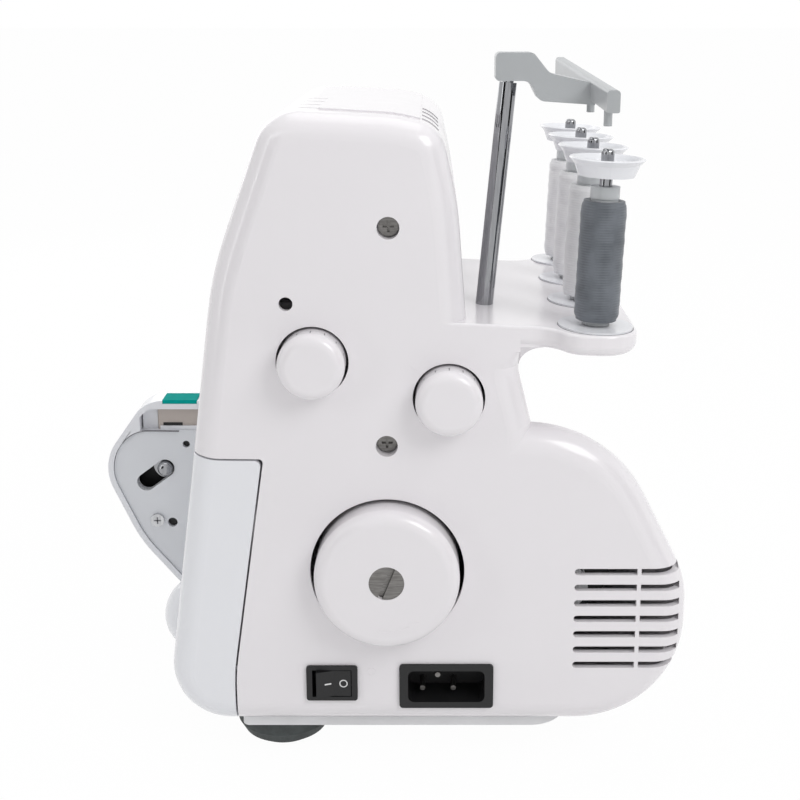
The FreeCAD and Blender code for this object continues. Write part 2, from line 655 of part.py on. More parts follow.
def cloth_plate():
    """Plate over the bed, cut out for the needle plate and the knives."""
    top = BED_TOP_Z
    front = SEAM_FOOT_Y - 12.0
    plan = [(BED_LEFT_X, front, 8.0), (COLUMN_LEFT_X - SLACK, front, 0), (COLUMN_LEFT_X - SLACK, 58.0, 0),
            (BED_LEFT_X, 58.0, 16.0)]
    plate = prism_z(plan, top - PLATE_THICKNESS, top)
    return plate.cut([box(*needle_plate_window(SLACK / 3), top - 9.0, top + 1.0),
                      box(0.0, KNIFE_X + 12.0, front - 1.0, -30.0, top - 9.0, top + 1.0)])


def needle_plate_window(margin):
    """Plan limits of the needle plate, with a margin."""
    return -46.0 - margin, 0.0 + margin, SEAM_FOOT_Y - 13.0, -4.0 + margin


def needle_plate():
    """Steel plate under the presser foot, with feed slots and a needle hole."""
    x0, x1, y0, y1 = needle_plate_window(0)
    plate = box(x0, x1, y0 + 1.0, y1, BED_TOP_Z - PLATE_THICKNESS, BED_TOP_Z)
    z0 = BED_TOP_Z - PLATE_THICKNESS - 1.0
    z1 = BED_TOP_Z + 1.0
    cuts = [box(x, x + 4.0, NEEDLE_Y - 18.0, NEEDLE_Y - 5.0, z0, z1) for x in feed_rows()]
    cuts.append(box(NEEDLE_X - 6.0, NEEDLE_X + 6.0, NEEDLE_Y - 2.0, NEEDLE_Y + 2.0, z0, z1))
    return plate.cut(cuts)


def feed_rows():
    """Left edges of the feed rows in the needle plate."""
    return [NEEDLE_X - 16.0, NEEDLE_X - 9.0, NEEDLE_X + 5.0]


def feed_dog():
    """Toothed feed rows on a common bar under the needle plate."""
    z0 = BED_TOP_Z - PLATE_THICKNESS - 5.0
    rear = LOOPER_WALL_Y - FEED_CLEARANCE
    front_bar = box(NEEDLE_X - 17.0, NEEDLE_X + 10.0, NEEDLE_Y - 16.0, NEEDLE_Y - 4.5, z0 - 4.0, z0)
    left_bar = box(NEEDLE_X - 17.0, NEEDLE_X - 8.0, NEEDLE_Y - 16.0, rear, z0 - 4.0, z0)
    rows = []
    for x in feed_rows():
        row = [(NEEDLE_Y - 16.0, z0 - 1.0, 0), (NEEDLE_Y - 7.0, z0 - 1.0, 0), (NEEDLE_Y - 7.0,
                                                                               BED_TOP_Z - 0.8, 0)]
        for i in range(5):
            row.append((NEEDLE_Y - 8.8 - i * 1.8, BED_TOP_Z - 2.0, 0))
            row.append((NEEDLE_Y - 8.8 - i * 1.8, BED_TOP_Z - 0.8, 0))
        rows.append(prism_x(row[:-1] + [(NEEDLE_Y - 16.0, BED_TOP_Z - 1.4, 0)], x + 0.6, x + 3.4))
    stem = box(NEEDLE_X - 17.0, NEEDLE_X - 10.0, NEEDLE_Y - 5.0, rear, LOOPER_Z + 6.0, z0 - 3.0)
    return fused([front_bar, left_bar, stem] + rows)


def lower_knife():
    """Fixed blade beside the needle plate."""
    x0 = needle_plate_window(0)[1]
    return box(x0, x0 + 2.0, NEEDLE_Y - 14.0, NEEDLE_Y + 4.0, BED_TOP_Z - 26.0, BED_TOP_Z)


def upper_knife():
    """Moving blade on its upright holder."""
    blade = prism_x([(NEEDLE_Y - 13.0, BED_TOP_Z - 14.0, 0), (NEEDLE_Y - 5.0, BED_TOP_Z - 14.0, 0),
                     (NEEDLE_Y - 5.0, BED_TOP_Z + 16.0, 2.0), (NEEDLE_Y - 13.0, BED_TOP_Z + 16.0, 2.0),
                     (NEEDLE_Y - 14.5, BED_TOP_Z + 2.0, 0)], KNIFE_X, KNIFE_X + 2.0)
    holder = box(KNIFE_X + 2.0, KNIFE_X + 8.0, NEEDLE_Y - 12.0, NEEDLE_Y - 4.0 - SLACK, LOOPER_Z - 4.0,
                 BED_TOP_Z)
    return fused([blade, holder])


def looper(x, y_arm, sweep):
    """Looper: a shaft in the looper wall and a thin arm that ends in a curved hook."""
    shaft = rod_y(x, y_arm, LOOPER_WALL_Y + LOOPER_WALL_THICKNESS, LOOPER_Z, LOOPER_SHAFT_RADIUS)
    hub = rod_y(x, y_arm, y_arm + 6.0, LOOPER_Z, LOOPER_SHAFT_RADIUS + 3.0)
    side = math.copysign(1, sweep)
    rise = BED_TOP_Z - PLATE_THICKNESS - 14.0
    outline = [(x - 3.5, LOOPER_Z, 0), (x + 3.5, LOOPER_Z, 0), (x + 2.5 + side, rise - 8.0, 6.0),
               (x + 9.0 * side, rise - 1.5, 1.0), (x + 9.0 * side - side, rise, 0), (x - 2.0 + side,
                                                                                     rise - 3.0, 5.0)]
    if side < 0:
        outline = [(x - 3.5, LOOPER_Z, 0), (x + 3.5, LOOPER_Z, 0), (x + 2.0 + side, rise - 3.0, 5.0),
                   (x + 9.0 * side - side, rise, 0), (x + 9.0 * side, rise - 1.5, 1.0), (x - 2.5 + side,
                                                                                         rise - 8.0, 6.0)]
    arm = prism_y(outline, y_arm, y_arm + 3.0)
    return fused([shaft, hub, arm])


def needle_bar():
    """Bar that carries the needle clamp."""
    return rod_z(NEEDLE_X, NEEDLE_Y, HEAD_UNDER_Z - 10.0, HEAD_TOP_Z - 12.0, NEEDLE_BAR_RADIUS)


def needle_clamp():
    """Clamp block round the lower end of the needle bar."""
    z1 = HEAD_UNDER_Z - 1.5
    z0 = z1 - CLAMP_HEIGHT
    block = prism_z([(NEEDLE_X - 7.0, NEEDLE_Y - 5.0, 2.0), (NEEDLE_X + 7.0, NEEDLE_Y - 5.0, 2.0),
                     (NEEDLE_X + 7.0, NEEDLE_Y + 5.0, 2.0), (NEEDLE_X - 7.0, NEEDLE_Y + 5.0, 2.0)], z0, z1)
    screws = [rod_y(NEEDLE_X + s, NEEDLE_Y - 7.5, NEEDLE_Y - 4.0, (z0 + z1) / 2, 1.6) for s in (-4.0, 4.0)]
    return fused([block] + screws).cut(needle_bar())


def needles():
    """Two needles under the clamp."""
    z1 = HEAD_UNDER_Z - 1.5 - CLAMP_HEIGHT
    profile = [(0, 0), (NEEDLE_RADIUS, 4.0), (NEEDLE_RADIUS, NEEDLE_LENGTH), (0, NEEDLE_LENGTH)]
    half = NEEDLE_SPACING / 2
    return [turned(profile, (NEEDLE_X + s, NEEDLE_Y, z1 - NEEDLE_LENGTH), (0, 0, 1)) for s in (-half, half)]


def presser_bar():
    """Presser bar with the bracket that the lifter raises."""
    bar = rod_z(NEEDLE_X, PRESSER_Y, BED_TOP_Z + 12.0, HEAD_TOP_Z - 18.0, PRESSER_BAR_RADIUS)
    z0 = LEVER_Z + LEVER_HUB_RADIUS + SLACK
    bracket = box(NEEDLE_X - 13.0, NEEDLE_X + 5.0, PRESSER_Y - 5.0, LEVER_Y + 10.0, z0, z0 + 4.6)
    return fused([bar, bracket])


def presser_foot():
    """Presser foot with a needle opening and its ankle on the bar."""
    z0 = BED_TOP_Z + SLACK
    z1 = z0 + FOOT_SOLE_THICKNESS
    sole = prism_z([(NEEDLE_X - 13.0, NEEDLE_Y - 24.0, 4.0), (NEEDLE_X + 13.0, NEEDLE_Y - 24.0, 4.0),
                    (NEEDLE_X + 13.0, PRESSER_Y + 8.0, 4.0), (NEEDLE_X - 13.0, PRESSER_Y + 8.0, 4.0)], z0, z1)
    toe = prism_x([(NEEDLE_Y - 24.0, z0 + 1.0, 0), (NEEDLE_Y - 20.0, z0 + 1.0, 0), (NEEDLE_Y - 24.0,
                                                                                    z1 + 4.0, 0)],
                  NEEDLE_X - 9.0, NEEDLE_X + 9.0)
    ankle = box(NEEDLE_X - 6.0, NEEDLE_X + 6.0, PRESSER_Y - 6.0, PRESSER_Y + 6.0, z1 - 0.5, BED_TOP_Z + 26.0)
    window = box(NEEDLE_X - 6.0, NEEDLE_X + 14.0, NEEDLE_Y - 6.0, NEEDLE_Y + 6.0, z0 - 1.0, z1 + 1.0)
    socket = rod_z(NEEDLE_X, PRESSER_Y, BED_TOP_Z + 12.0, BED_TOP_Z + 30.0, PRESSER_BAR_RADIUS)
    return fused([sole, toe, ankle]).cut([window, socket])


def presser_lever():
    """Lifter: a hub on its pin, a lobe under the bracket and a handle behind the head."""
    x0 = NEEDLE_X - 14.1
    x1 = NEEDLE_X - 8.0
    hub = rod_x(x0, x1, LEVER_Y, LEVER_Z, LEVER_HUB_RADIUS)
    lobe = box(x0, x1, LEVER_Y, LEVER_Y + 9.0, LEVER_Z - 3.0, LEVER_Z + 3.0)
    tip = rod_x(x0, x1, LEVER_Y + 9.0, LEVER_Z, 3.0)
    handle = prism_x([(LEVER_Y, LEVER_Z - 3.0, 0), (LEVER_Y + 34.0, LEVER_Z - 17.0, 2.0),
                      (LEVER_Y + 38.0, LEVER_Z - 12.0, 2.0), (LEVER_Y, LEVER_Z + 3.0, 0)], x0, x1)
    pin_hole = rod_x(x0 - 1.0, x1 + 1.0, LEVER_Y, LEVER_Z, LEVER_PIN_RADIUS + FIT)
    return fused([hub, lobe, tip, handle]).cut(pin_hole)


def main_shaft():
    """Main shaft from the left bearing to the handwheel."""
    end = SIDE_X + WHEEL_REACH - WHEEL_SCREW_HEAD
    return rod_x(-58.0, end, SHAFT_Y, SHAFT_Z, SHAFT_RADIUS).cut(
        rod_x(end - 12.0, end + 1.0, SHAFT_Y, SHAFT_Z, WHEEL_SCREW_RADIUS / 2))


def handwheel():
    """Handwheel with a soft rim and a seat for its screw."""
    face = SIDE_X + WHEEL_REACH
    wheel = rod_x(face - WHEEL_WIDTH, face, SHAFT_Y, SHAFT_Z, WHEEL_RADIUS)
    rim = [edge for edge in wheel.Edges if abs(edge.BoundBox.XMin - face) < 0.001]
    wheel = wheel.makeFillet(5.0, rim)
    return wheel.cut([rod_x(face - WHEEL_WIDTH - 1.0, face, SHAFT_Y, SHAFT_Z, SHAFT_RADIUS),
                      rod_x(face - WHEEL_SCREW_HEAD, face + 1.0, SHAFT_Y, SHAFT_Z, WHEEL_SCREW_RADIUS + FIT)])


def handwheel_screw():
    """Slotted screw that holds the handwheel on the shaft."""
    face = SIDE_X + WHEEL_REACH
    seat = face - WHEEL_SCREW_HEAD
    head = rod_x(seat, face - 0.4, SHAFT_Y, SHAFT_Z, WHEEL_SCREW_RADIUS)
    shank = rod_x(seat - 10.0, seat, SHAFT_Y, SHAFT_Z, WHEEL_SCREW_RADIUS / 2)
    slot = box(face - 2.2, face + 1.0, SHAFT_Y - 9.0, SHAFT_Y + 9.0, SHAFT_Z - 1.0, SHAFT_Z + 1.0)
    slot.rotate(Vec(face, SHAFT_Y, SHAFT_Z), Vec(1, 0, 0), 68)
    return fused([head, shank]).cut(slot)


def pulley(y, z, radius, bore):
    """Flanged belt pulley."""
    x0 = BELT_X - BELT_WIDTH / 2 - SLACK
    x1 = BELT_X + BELT_WIDTH / 2 + SLACK
    wide = radius + FLANGE_HEIGHT
    drum = rod_x(x0, x1, y, z, radius)
    flanges = [rod_x(x0 - FLANGE_WIDTH, x0, y, z, wide), rod_x(x1, x1 + FLANGE_WIDTH, y, z, wide)]
    solid = fused([drum] + flanges)
    return solid.cut(rod_x(x0 - 9.0, x1 + 9.0, y, z, bore)) if bore else solid


def motor_pulley():
    """Motor pulley with the motor shaft that carries it."""
    shaft = rod_x(MOTOR_WALL_X + MOTOR_WALL_THICKNESS + MOTOR_LENGTH, BELT_X, MOTOR_Y, MOTOR_Z,
                  MOTOR_SHAFT_RADIUS)
    return fused([pulley(MOTOR_Y, MOTOR_Z, MOTOR_PULLEY_RADIUS, 0), shaft])


def belt_loop(gap):
    """Outline block of the belt round both pulleys, at a gap from them."""
    big = SHAFT_PULLEY_RADIUS + gap
    small = MOTOR_PULLEY_RADIUS + gap
    span_y = MOTOR_Y - SHAFT_Y
    span_z = MOTOR_Z - SHAFT_Z
    span = math.hypot(span_y, span_z)
    tilt = math.atan2(span_z, span_y)
    open_angle = math.acos((big - small) / span)
    x0 = BELT_X - BELT_WIDTH / 2
    x1 = BELT_X + BELT_WIDTH / 2
    tangent = []
    for angle in (tilt - open_angle, tilt + open_angle):
        across, up = math.cos(angle), math.sin(angle)
        tangent.append((Vec(x0, SHAFT_Y + big * across, SHAFT_Z + big * up),
                        Vec(x0, MOTOR_Y + small * across, MOTOR_Z + small * up)))
    corners_in_order = [tangent[0][0], tangent[0][1], tangent[1][1], tangent[1][0], tangent[0][0]]
    bridge = Part.Face(Part.makePolygon(corners_in_order)).extrude(Vec(x1 - x0, 0, 0))
    return fused([bridge, rod_x(x0, x1, SHAFT_Y, SHAFT_Z, big), rod_x(x0, x1, MOTOR_Y, MOTOR_Z, small)])


def drive_belt():
    """Belt from the motor to the main shaft."""
    return belt_loop(FIT + BELT_THICKNESS).cut(belt_loop(FIT))


def motor_body():
    """Round motor with an end boss, carried by the motor wall of the frame."""
    x0 = MOTOR_WALL_X + MOTOR_WALL_THICKNESS
    x1 = x0 + MOTOR_LENGTH
    can = rod_x(x0, x1 - 4.0, MOTOR_Y, MOTOR_Z, MOTOR_RADIUS)
    boss = rod_x(x1 - 4.0, x1, MOTOR_Y, MOTOR_Z, 9.0)
    fins = [box(x0 + 6.0, x1 - 10.0, MOTOR_Y - MOTOR_FIN_REACH, MOTOR_Y + MOTOR_FIN_REACH, MOTOR_Z - 3.0,
                MOTOR_Z + 3.0)]
    return fused([can, boss] + fins)


def side_dial(y, z):
    """Adjusting dial with its stem in the dial plate of the frame."""
    face = SIDE_X + DIAL_REACH
    knob = rod_x(face - DIAL_LENGTH, face, y, z, DIAL_RADIUS)
    rim = [edge for edge in knob.Edges if abs(edge.BoundBox.XMin - face) < 0.001]
    knob = knob.makeFillet(4.0, rim)
    stem = rod_x(POST_X + POST_WIDTH + 1.0, face - DIAL_LENGTH, y, z, DIAL_STEM_RADIUS)
    return fused([knob, stem])


def switch_body(margin):
    """Housing of the power switch behind the side wall."""
    half = SWITCH_LENGTH / 2 - 1.2 + margin
    high = SWITCH_HEIGHT / 2 - 1.0 + margin
    return box(SIDE_X - 14.0, SIDE_X + 0.1, SWITCH_Y - half, SWITCH_Y + half, SWITCH_Z - high,
               SWITCH_Z + high)


def switch_bezel():
    """Switch housing with its bezel and the pocket of the rocker."""
    half = SWITCH_LENGTH / 2
    high = SWITCH_HEIGHT / 2
    frame = prism_x([(SWITCH_Y - half, SWITCH_Z - high, 1.2), (SWITCH_Y + half, SWITCH_Z - high, 1.2),
                     (SWITCH_Y + half, SWITCH_Z + high, 1.2), (SWITCH_Y - half, SWITCH_Z + high, 1.2)],
                    SIDE_X, SIDE_X + BEZEL_PROUD)
    wide = ROCKER_LENGTH / 2 + 1.0
    tall = ROCKER_HEIGHT / 2 + SLACK
    pocket = box(SIDE_X - 9.0, SIDE_X + 3.0, SWITCH_Y - wide, SWITCH_Y + wide, SWITCH_Z - tall,
                 SWITCH_Z + tall)
    pivot = rod_z(SIDE_X - 3.0, SWITCH_Y, SWITCH_Z - tall - 1.0, SWITCH_Z + tall + 1.0, 1.0 + FIT)
    return fused([frame, switch_body(0)]).cut([pocket, pivot])


def switch_rocker():
    """Rocker with two slanted faces on a pivot, resting in its off position."""
    half = ROCKER_LENGTH / 2
    tall = ROCKER_HEIGHT / 2
    x = SIDE_X - 3.0
    plan = [(x - 4.5, SWITCH_Y - 5.0, 0), (x + 5.2, SWITCH_Y - half, 0), (x + 4.0, SWITCH_Y, 0),
            (x + 5.2, SWITCH_Y + half, 0), (x - 4.5, SWITCH_Y + 5.0, 0)]
    body = prism_z(plan[::-1], SWITCH_Z - tall, SWITCH_Z + tall)
    pivot = rod_z(x, SWITCH_Y, SWITCH_Z - tall - 1.0, SWITCH_Z + tall + 1.0, 1.0)
    rocker = fused([body, pivot])
    rocker.rotate(Vec(x, SWITCH_Y, 0), Vec(0, 0, 1), ROCKER_TILT)
    return rocker


def inlet_rectangle(length, height, radius):
    """Rounded rectangle of the mains inlet in side view."""
    y0, y1 = INLET_Y - length / 2, INLET_Y + length / 2
    z0, z1 = INLET_Z - height / 2, INLET_Z + height / 2
    return [(y0, z0, radius), (y1, z0, radius), (y1, z1, radius), (y0, z1, radius)]


def inlet_body():
    """Housing of the mains inlet behind the side wall."""
    outline = inlet_rectangle(INLET_RECESS_LENGTH + 2.4, INLET_RECESS_HEIGHT + 2.4, 3.0)
    return prism_x(outline, SIDE_X - INLET_DEPTH, SIDE_X + 0.1)


def inlet_housing():
    """Mains inlet with its flange and the recess for a plug."""
    flange = prism_x(inlet_rectangle(INLET_LENGTH, INLET_HEIGHT, 1.5), SIDE_X, SIDE_X + BEZEL_PROUD)
    recess = prism_x(inlet_rectangle(INLET_RECESS_LENGTH, INLET_RECESS_HEIGHT, 2.5),
                     SIDE_X - INLET_RECESS_DEPTH, SIDE_X + 5.0)
    return fused([flange, inlet_body()]).cut(recess)


def inlet_pins():
    """Three round contact pins in the inlet."""
    x0 = SIDE_X - INLET_RECESS_DEPTH
    spots = [(INLET_Y - 3.5, INLET_Z + 1.9), (INLET_Y - 9.8, INLET_Z - 4.1), (INLET_Y + 3.0, INLET_Z - 4.1)]
    return [rod_x(x0, x0 + INLET_PIN_LENGTH, y, z, INLET_PIN_RADIUS) for y, z in spots]


def cover_screws():
    """Screws at the bottom of the two pockets in the right cover."""
    x0 = SIDE_X - SCREW_POCKET_DEPTH
    screws = []
    for y, z in SCREW_SPOTS:
        head = rod_x(x0, x0 + 2.4, y, z, SCREW_HEAD_RADIUS)
        shank = rod_x(x0 - 12.0, x0, y, z, SCREW_HEAD_RADIUS / 2)
        cross = [box(x0 + 1.0, x0 + 3.0, y - 2.2, y + 2.2, z - 0.5, z + 0.5),
                 box(x0 + 1.0, x0 + 3.0, y - 0.5, y + 0.5, z - 2.2, z + 2.2)]
        screws.append(fused([head, shank]).cut(cross))
    return screws


def tray_outline():
    """Plan of the tray: a neck at the head and a row of spools with round ends."""
    last_x = FIRST_SPOOL_X - (SPOOL_COUNT - 1) * SPOOL_PITCH
    radius = TRAY_LOBE_RADIUS
    rear = SPOOL_Y + radius
    right = FIRST_SPOOL_X + radius
    left = last_x - radius
    neck_right = SIDE_X
    neck_left = SIDE_X - TRAY_NECK_WIDTH
    front = HEAD_REAR_Y - TRAY_ROOT_DEPTH
    return [
        (neck_left, front, 0), (neck_right, front, 0), (neck_right, SPOOL_Y - radius - 2.0, 12.0),
        (right, SPOOL_Y - radius + 5.0, radius - 5.0), (right, rear, radius - 0.5),
        (left, rear, radius - 0.5), (left, SPOOL_Y - radius + 5.0, radius - 5.0),
        (neck_left, SPOOL_Y - radius - 2.0, 12.0),
    ]


def tray_tilt(shape):
    """Shape leaned back as the tray is, about the head's rear line."""
    return leaned(shape, (0, HEAD_REAR_Y, tray_floor_z()), LEAN_DEGREES)


def tray_slab():
    """Tray board with rounded edges above and below, before it is leaned."""
    front = HEAD_REAR_Y - TRAY_ROOT_DEPTH
    slab = prism_z(tray_outline(), LEDGE_Z + TRAY_UNDERCUT, tray_floor_z())
    for z, radius in ((LEDGE_Z + TRAY_UNDERCUT, TRAY_UNDER_ROUND), (tray_floor_z(), TRAY_TOP_ROUND)):
        level = [edge for edge in slab.Edges
                 if abs(edge.BoundBox.ZMin - z) < 0.001 and edge.BoundBox.ZLength < 0.001]
        slab = slab.makeFillet(radius, [edge for edge in level if edge.BoundBox.YMax > front + 1.0])
    return slab


def tray_gusset():
    """Hollow-curved strip between the back of the column and the tray, drawn in at its ends."""
    radius = TRAY_GUSSET_RADIUS
    y = COLUMN_REAR_Y + radius
    top = LEDGE_Z + TRAY_UNDERCUT - 1.0
    z = top - radius
    x0 = COLUMN_LEFT_X + EDGE_ROUND
    x1 = SIDE_X - 1.0
    strip = box(x0, x1, COLUMN_REAR_Y - 2.0, y, z, top + 1.5).cut(rod_x(x0 - 1.0, x1 + 1.0, y, z, radius))
    slope = [(SIDE_X - EDGE_ROUND, z - 1.0, 0), (x1 + 5.0, z - 1.0, 0), (x1 + 5.0, top, 0), (x1, top, 0)]
    return strip.cut(prism_y(slope, COLUMN_REAR_Y - 5.0, y + 1.0))


def corner_filler():
    """Block that squares the column's rounded rear corner gradually towards the tray."""
    top = LEDGE_Z + TRAY_UNDERCUT - 1.0
    inner_x = SIDE_X - EDGE_ROUND - 4.0
    inner_y = COLUMN_REAR_Y - EDGE_ROUND - 4.0
    wires = []
    for z, radius in ((top - TRAY_GUSSET_RADIUS, EDGE_ROUND + 0.5), (top, 1.0)):
        plan = [(inner_x, inner_y, 0), (SIDE_X, inner_y, 0), (SIDE_X, COLUMN_REAR_Y, radius),
                (inner_x, COLUMN_REAR_Y, 0)]
        wires.append(rounded_face(plan, lambda a, b: Vec(a, b, z)).OuterWire)
    return Part.makeLoft(wires, True, True).cut([right_block(0), left_block(0)])


def spool_tray():
    """Spool tray on a root that sits on the column, cut to the back of the head."""
    root = box(SIDE_X - TRAY_NECK_WIDTH, SIDE_X, HEAD_REAR_Y - TRAY_ROOT_DEPTH, COLUMN_REAR_Y,
               LEDGE_Z, LEDGE_Z + TRAY_UNDERCUT + TRAY_UNDER_ROUND)
    tray = fused([tray_tilt(tray_slab()), root, tray_gusset()])
    tray = tray.cut([box(-200.0, 200.0, -50.0, COLUMN_REAR_Y, 0.0, LEDGE_Z), right_block(0), left_block(0),
                     prism_x(casing_outline(), SPLIT_X - 1.0, SIDE_X - EDGE_ROUND)])
    tray = fused([tray, corner_filler()])
    hole = pole_lean(rod_z(POLE_X, POLE_Y, LEDGE_Z - 20.0, LEDGE_Z + 30.0, POLE_RADIUS))
    pin_holes = [tray_tilt(rod_z(x, SPOOL_Y, LEDGE_Z - 9.0, LEDGE_Z + 20.0,
                                 PIN_RADIUS)) for x in spool_places()]
    return tray.cut([hole] + pin_holes)


def spool_places():
    """X of each spool, from the handwheel side."""
    return [FIRST_SPOOL_X - i * SPOOL_PITCH for i in range(SPOOL_COUNT)]


def tray_floor_z():
    """Height of the tray floor before it is leaned."""
    return LEDGE_Z + TRAY_HEIGHT


def spool_rests():
    """Round cushions under the spools."""
    z0 = tray_floor_z()
    rests = []
    for x in spool_places():
        ring = rod_z(x, SPOOL_Y, z0, z0 + REST_THICKNESS, REST_RADIUS)
        rests.append(tray_tilt(ring.cut(rod_z(x, SPOOL_Y, z0 - 1.0, z0 + 9.0, PIN_RADIUS))))
    return rests


def spool_pins():
    """Upright chrome pins with domed tops."""
    z0 = tray_floor_z() - 6.0
    z1 = tray_floor_z() + PIN_LENGTH
    pins = []
    for x in spool_places():
        pin = rod_z(x, SPOOL_Y, z0, z1, PIN_RADIUS)
        top = [edge for edge in pin.Edges if edge.BoundBox.ZMin > z1 - 0.001]
        pins.append(tray_tilt(pin.makeFillet(PIN_RADIUS * 0.6, top)))
    return pins


def spool_core(x):
    """Plastic core of a spool with its top collar."""
    z0 = tray_floor_z() + REST_THICKNESS + SLACK
    profile = [(PIN_RADIUS + FIT * 4, 0), (CORE_RADIUS, 0), (CORE_RADIUS, SPOOL_LENGTH - 5.0),
               (COLLAR_RADIUS, SPOOL_LENGTH - 4.5), (COLLAR_RADIUS, SPOOL_LENGTH),
               (PIN_RADIUS + FIT * 4, SPOOL_LENGTH)]
    return tray_tilt(turned(profile, (x, SPOOL_Y, z0), (0, 0, 1)))


def spool_thread(x):
    """Winding of thread on a core, slightly barrelled at its ends."""
    z0 = tray_floor_z() + REST_THICKNESS + SLACK + THREAD_START
    end = THREAD_RADIUS - 0.7
    profile = [(CORE_RADIUS, 0), (end, 0), (THREAD_RADIUS, 1.2), (THREAD_RADIUS, THREAD_LENGTH - 1.2),
               (end, THREAD_LENGTH), (CORE_RADIUS, THREAD_LENGTH)]
    return tray_tilt(turned(profile, (x, SPOOL_Y, z0), (0, 0, 1)))


def spool_caps():
    """Dished caps on the pins, above the spools."""
    z0 = tray_floor_z() + REST_THICKNESS + SLACK + SPOOL_LENGTH + CAP_GAP
    dish = CAP_HEIGHT - CAP_DISH
    profile = [(PIN_RADIUS, 0), (CAP_FOOT_RADIUS, 0), (CAP_FOOT_RADIUS + 1.8, CAP_HEIGHT - 2.4),
               (CAP_RIM_RADIUS, CAP_HEIGHT - 0.4), (CAP_RIM_RADIUS - 0.4, CAP_HEIGHT),
               (CAP_RIM_RADIUS - 1.2, CAP_HEIGHT), (CAP_FOOT_RADIUS, dish), (PIN_RADIUS, dish)]
    return [tray_tilt(turned(profile, (x, SPOOL_Y, z0), (0, 0, 1))) for x in spool_places()]


def pole_lean(shape):
    """Shape leaned as the thread pole is."""
    return leaned(shape, (POLE_X, POLE_Y, tray_floor_z()), POLE_LEAN_DEGREES)


def pole_tube():
    """Chrome tube of the thread pole."""
    z0 = tray_floor_z()
    tube = rod_z(POLE_X, POLE_Y, z0 - POLE_ROOT, z0 + POLE_TOP, POLE_RADIUS)
    bore = rod_z(POLE_X, POLE_Y, z0 - POLE_ROOT + 3.0, z0 + POLE_TOP + 1.0, POLE_BORE_RADIUS)
    return pole_lean(tube.cut(bore))


def pole_rod():
    """Inner rod that pulls out of the tube."""
    z0 = tray_floor_z()
    return pole_lean(rod_z(POLE_X, POLE_Y, z0 - POLE_ROOT + 3.5, z0 + POLE_TOP + GUIDE_BLOCK_HEIGHT - 2.0,
                           POLE_BORE_RADIUS - FIT))


def thread_guide():
    """Thread guide: a block on the rod, an arm to the back and a bar with a peg for each thread."""
    z0 = tray_floor_z() + POLE_TOP + SLACK
    lean = math.tan(math.radians(POLE_LEAN_DEGREES))
    y = POLE_Y + lean * POLE_TOP
    bar_y0 = GUIDE_BAR_Y - GUIDE_BAR_DEPTH / 2
    bar_y1 = GUIDE_BAR_Y + GUIDE_BAR_DEPTH / 2
    bar_z1 = z0 - 1.0
    bar_z0 = bar_z1 - GUIDE_BAR_HEIGHT
    half = GUIDE_BLOCK_WIDTH / 2
    front = y - 5.2
    arm = prism_x([(front, z0, 1.5), (y + 8.0, z0, 4.0), (y + 12.0, bar_z0 + 1.5, 4.0), (bar_y0 + 1.0,
                                                                                         bar_z0, 0),
                   (bar_y0 + 1.0, bar_z1, 0), (y + 16.0, z0 + 3.0, 5.0), (y + 9.5,
                                                                          z0 + GUIDE_BLOCK_HEIGHT, 3.0),
                   (front, z0 + GUIDE_BLOCK_HEIGHT, 2.0)], POLE_X - half, POLE_X + half)
    first = FIRST_SPOOL_X + 15.0
    bar = prism_x([(bar_y0, bar_z0, 0.8), (bar_y1, bar_z0, 0.8), (bar_y1, bar_z1, 1.5), (bar_y0, bar_z1,
                                                                                         1.5)],
                  first - GUIDE_BAR_LENGTH, first)
    pegs = [rod_z(x + 4.0, GUIDE_BAR_Y, bar_z0 - GUIDE_PEG_LENGTH, bar_z0 + 1.0, GUIDE_PEG_RADIUS)
            for x in spool_places()]
    rail = fused([bar] + pegs)
    rail.rotate(Vec(first, GUIDE_BAR_Y, bar_z0), Vec(0, 1, 0), GUIDE_BAR_RISE)
    rail.rotate(Vec(first, GUIDE_BAR_Y, bar_z0), Vec(0, 0, 1), GUIDE_BAR_TURN)
    hole = pole_lean(rod_z(POLE_X, POLE_Y, z0 - 40.0,
                           tray_floor_z() + POLE_TOP + GUIDE_BLOCK_HEIGHT - 2.0 + SLACK,
                           POLE_BORE_RADIUS))
    return fused([arm, rail]).cut(hole)


def tension_dial(x):
    """Tension thumbwheel with finger grooves, on the tension shaft."""
    half = TENSION_WIDTH / 2
    wheel = rod_x(x - half, x + half, TENSION_Y, TENSION_Z, TENSION_RADIUS)
    grooves = []
    for i in range(16):
        angle = math.radians(i * 22.5)
        grooves.append(rod_x(x - half - 1.0, x + half + 1.0,
                             TENSION_Y + (TENSION_RADIUS + 0.6) * math.cos(angle),
                             TENSION_Z + (TENSION_RADIUS + 0.6) * math.sin(angle), 1.4))
    hole = rod_x(x - half - 1.0, x + half + 1.0, TENSION_Y, TENSION_Z, TENSION_SHAFT_RADIUS + FIT)
    return wheel.cut(grooves + [hole])


def tension_shaft():
    """Shaft of the tension wheels, from the frame's arm to the right cover."""
    return rod_x(NEEDLE_X + 6.0, SIDE_X - WALL, TENSION_Y, TENSION_Z, TENSION_SHAFT_RADIUS)


def pod_outline(margin):
    """Side view of the pod in front of the door, at its right end."""
    return inset([
        (-84.0, 24.0, 16.0), (-60.0, 24.0, 0), (-66.0, 131.0, 0), (-110.2, 131.0, 16.0), (-132.3, 99.9, 23.0),
        (-115.4, 62.0, 60.0),
    ], margin)


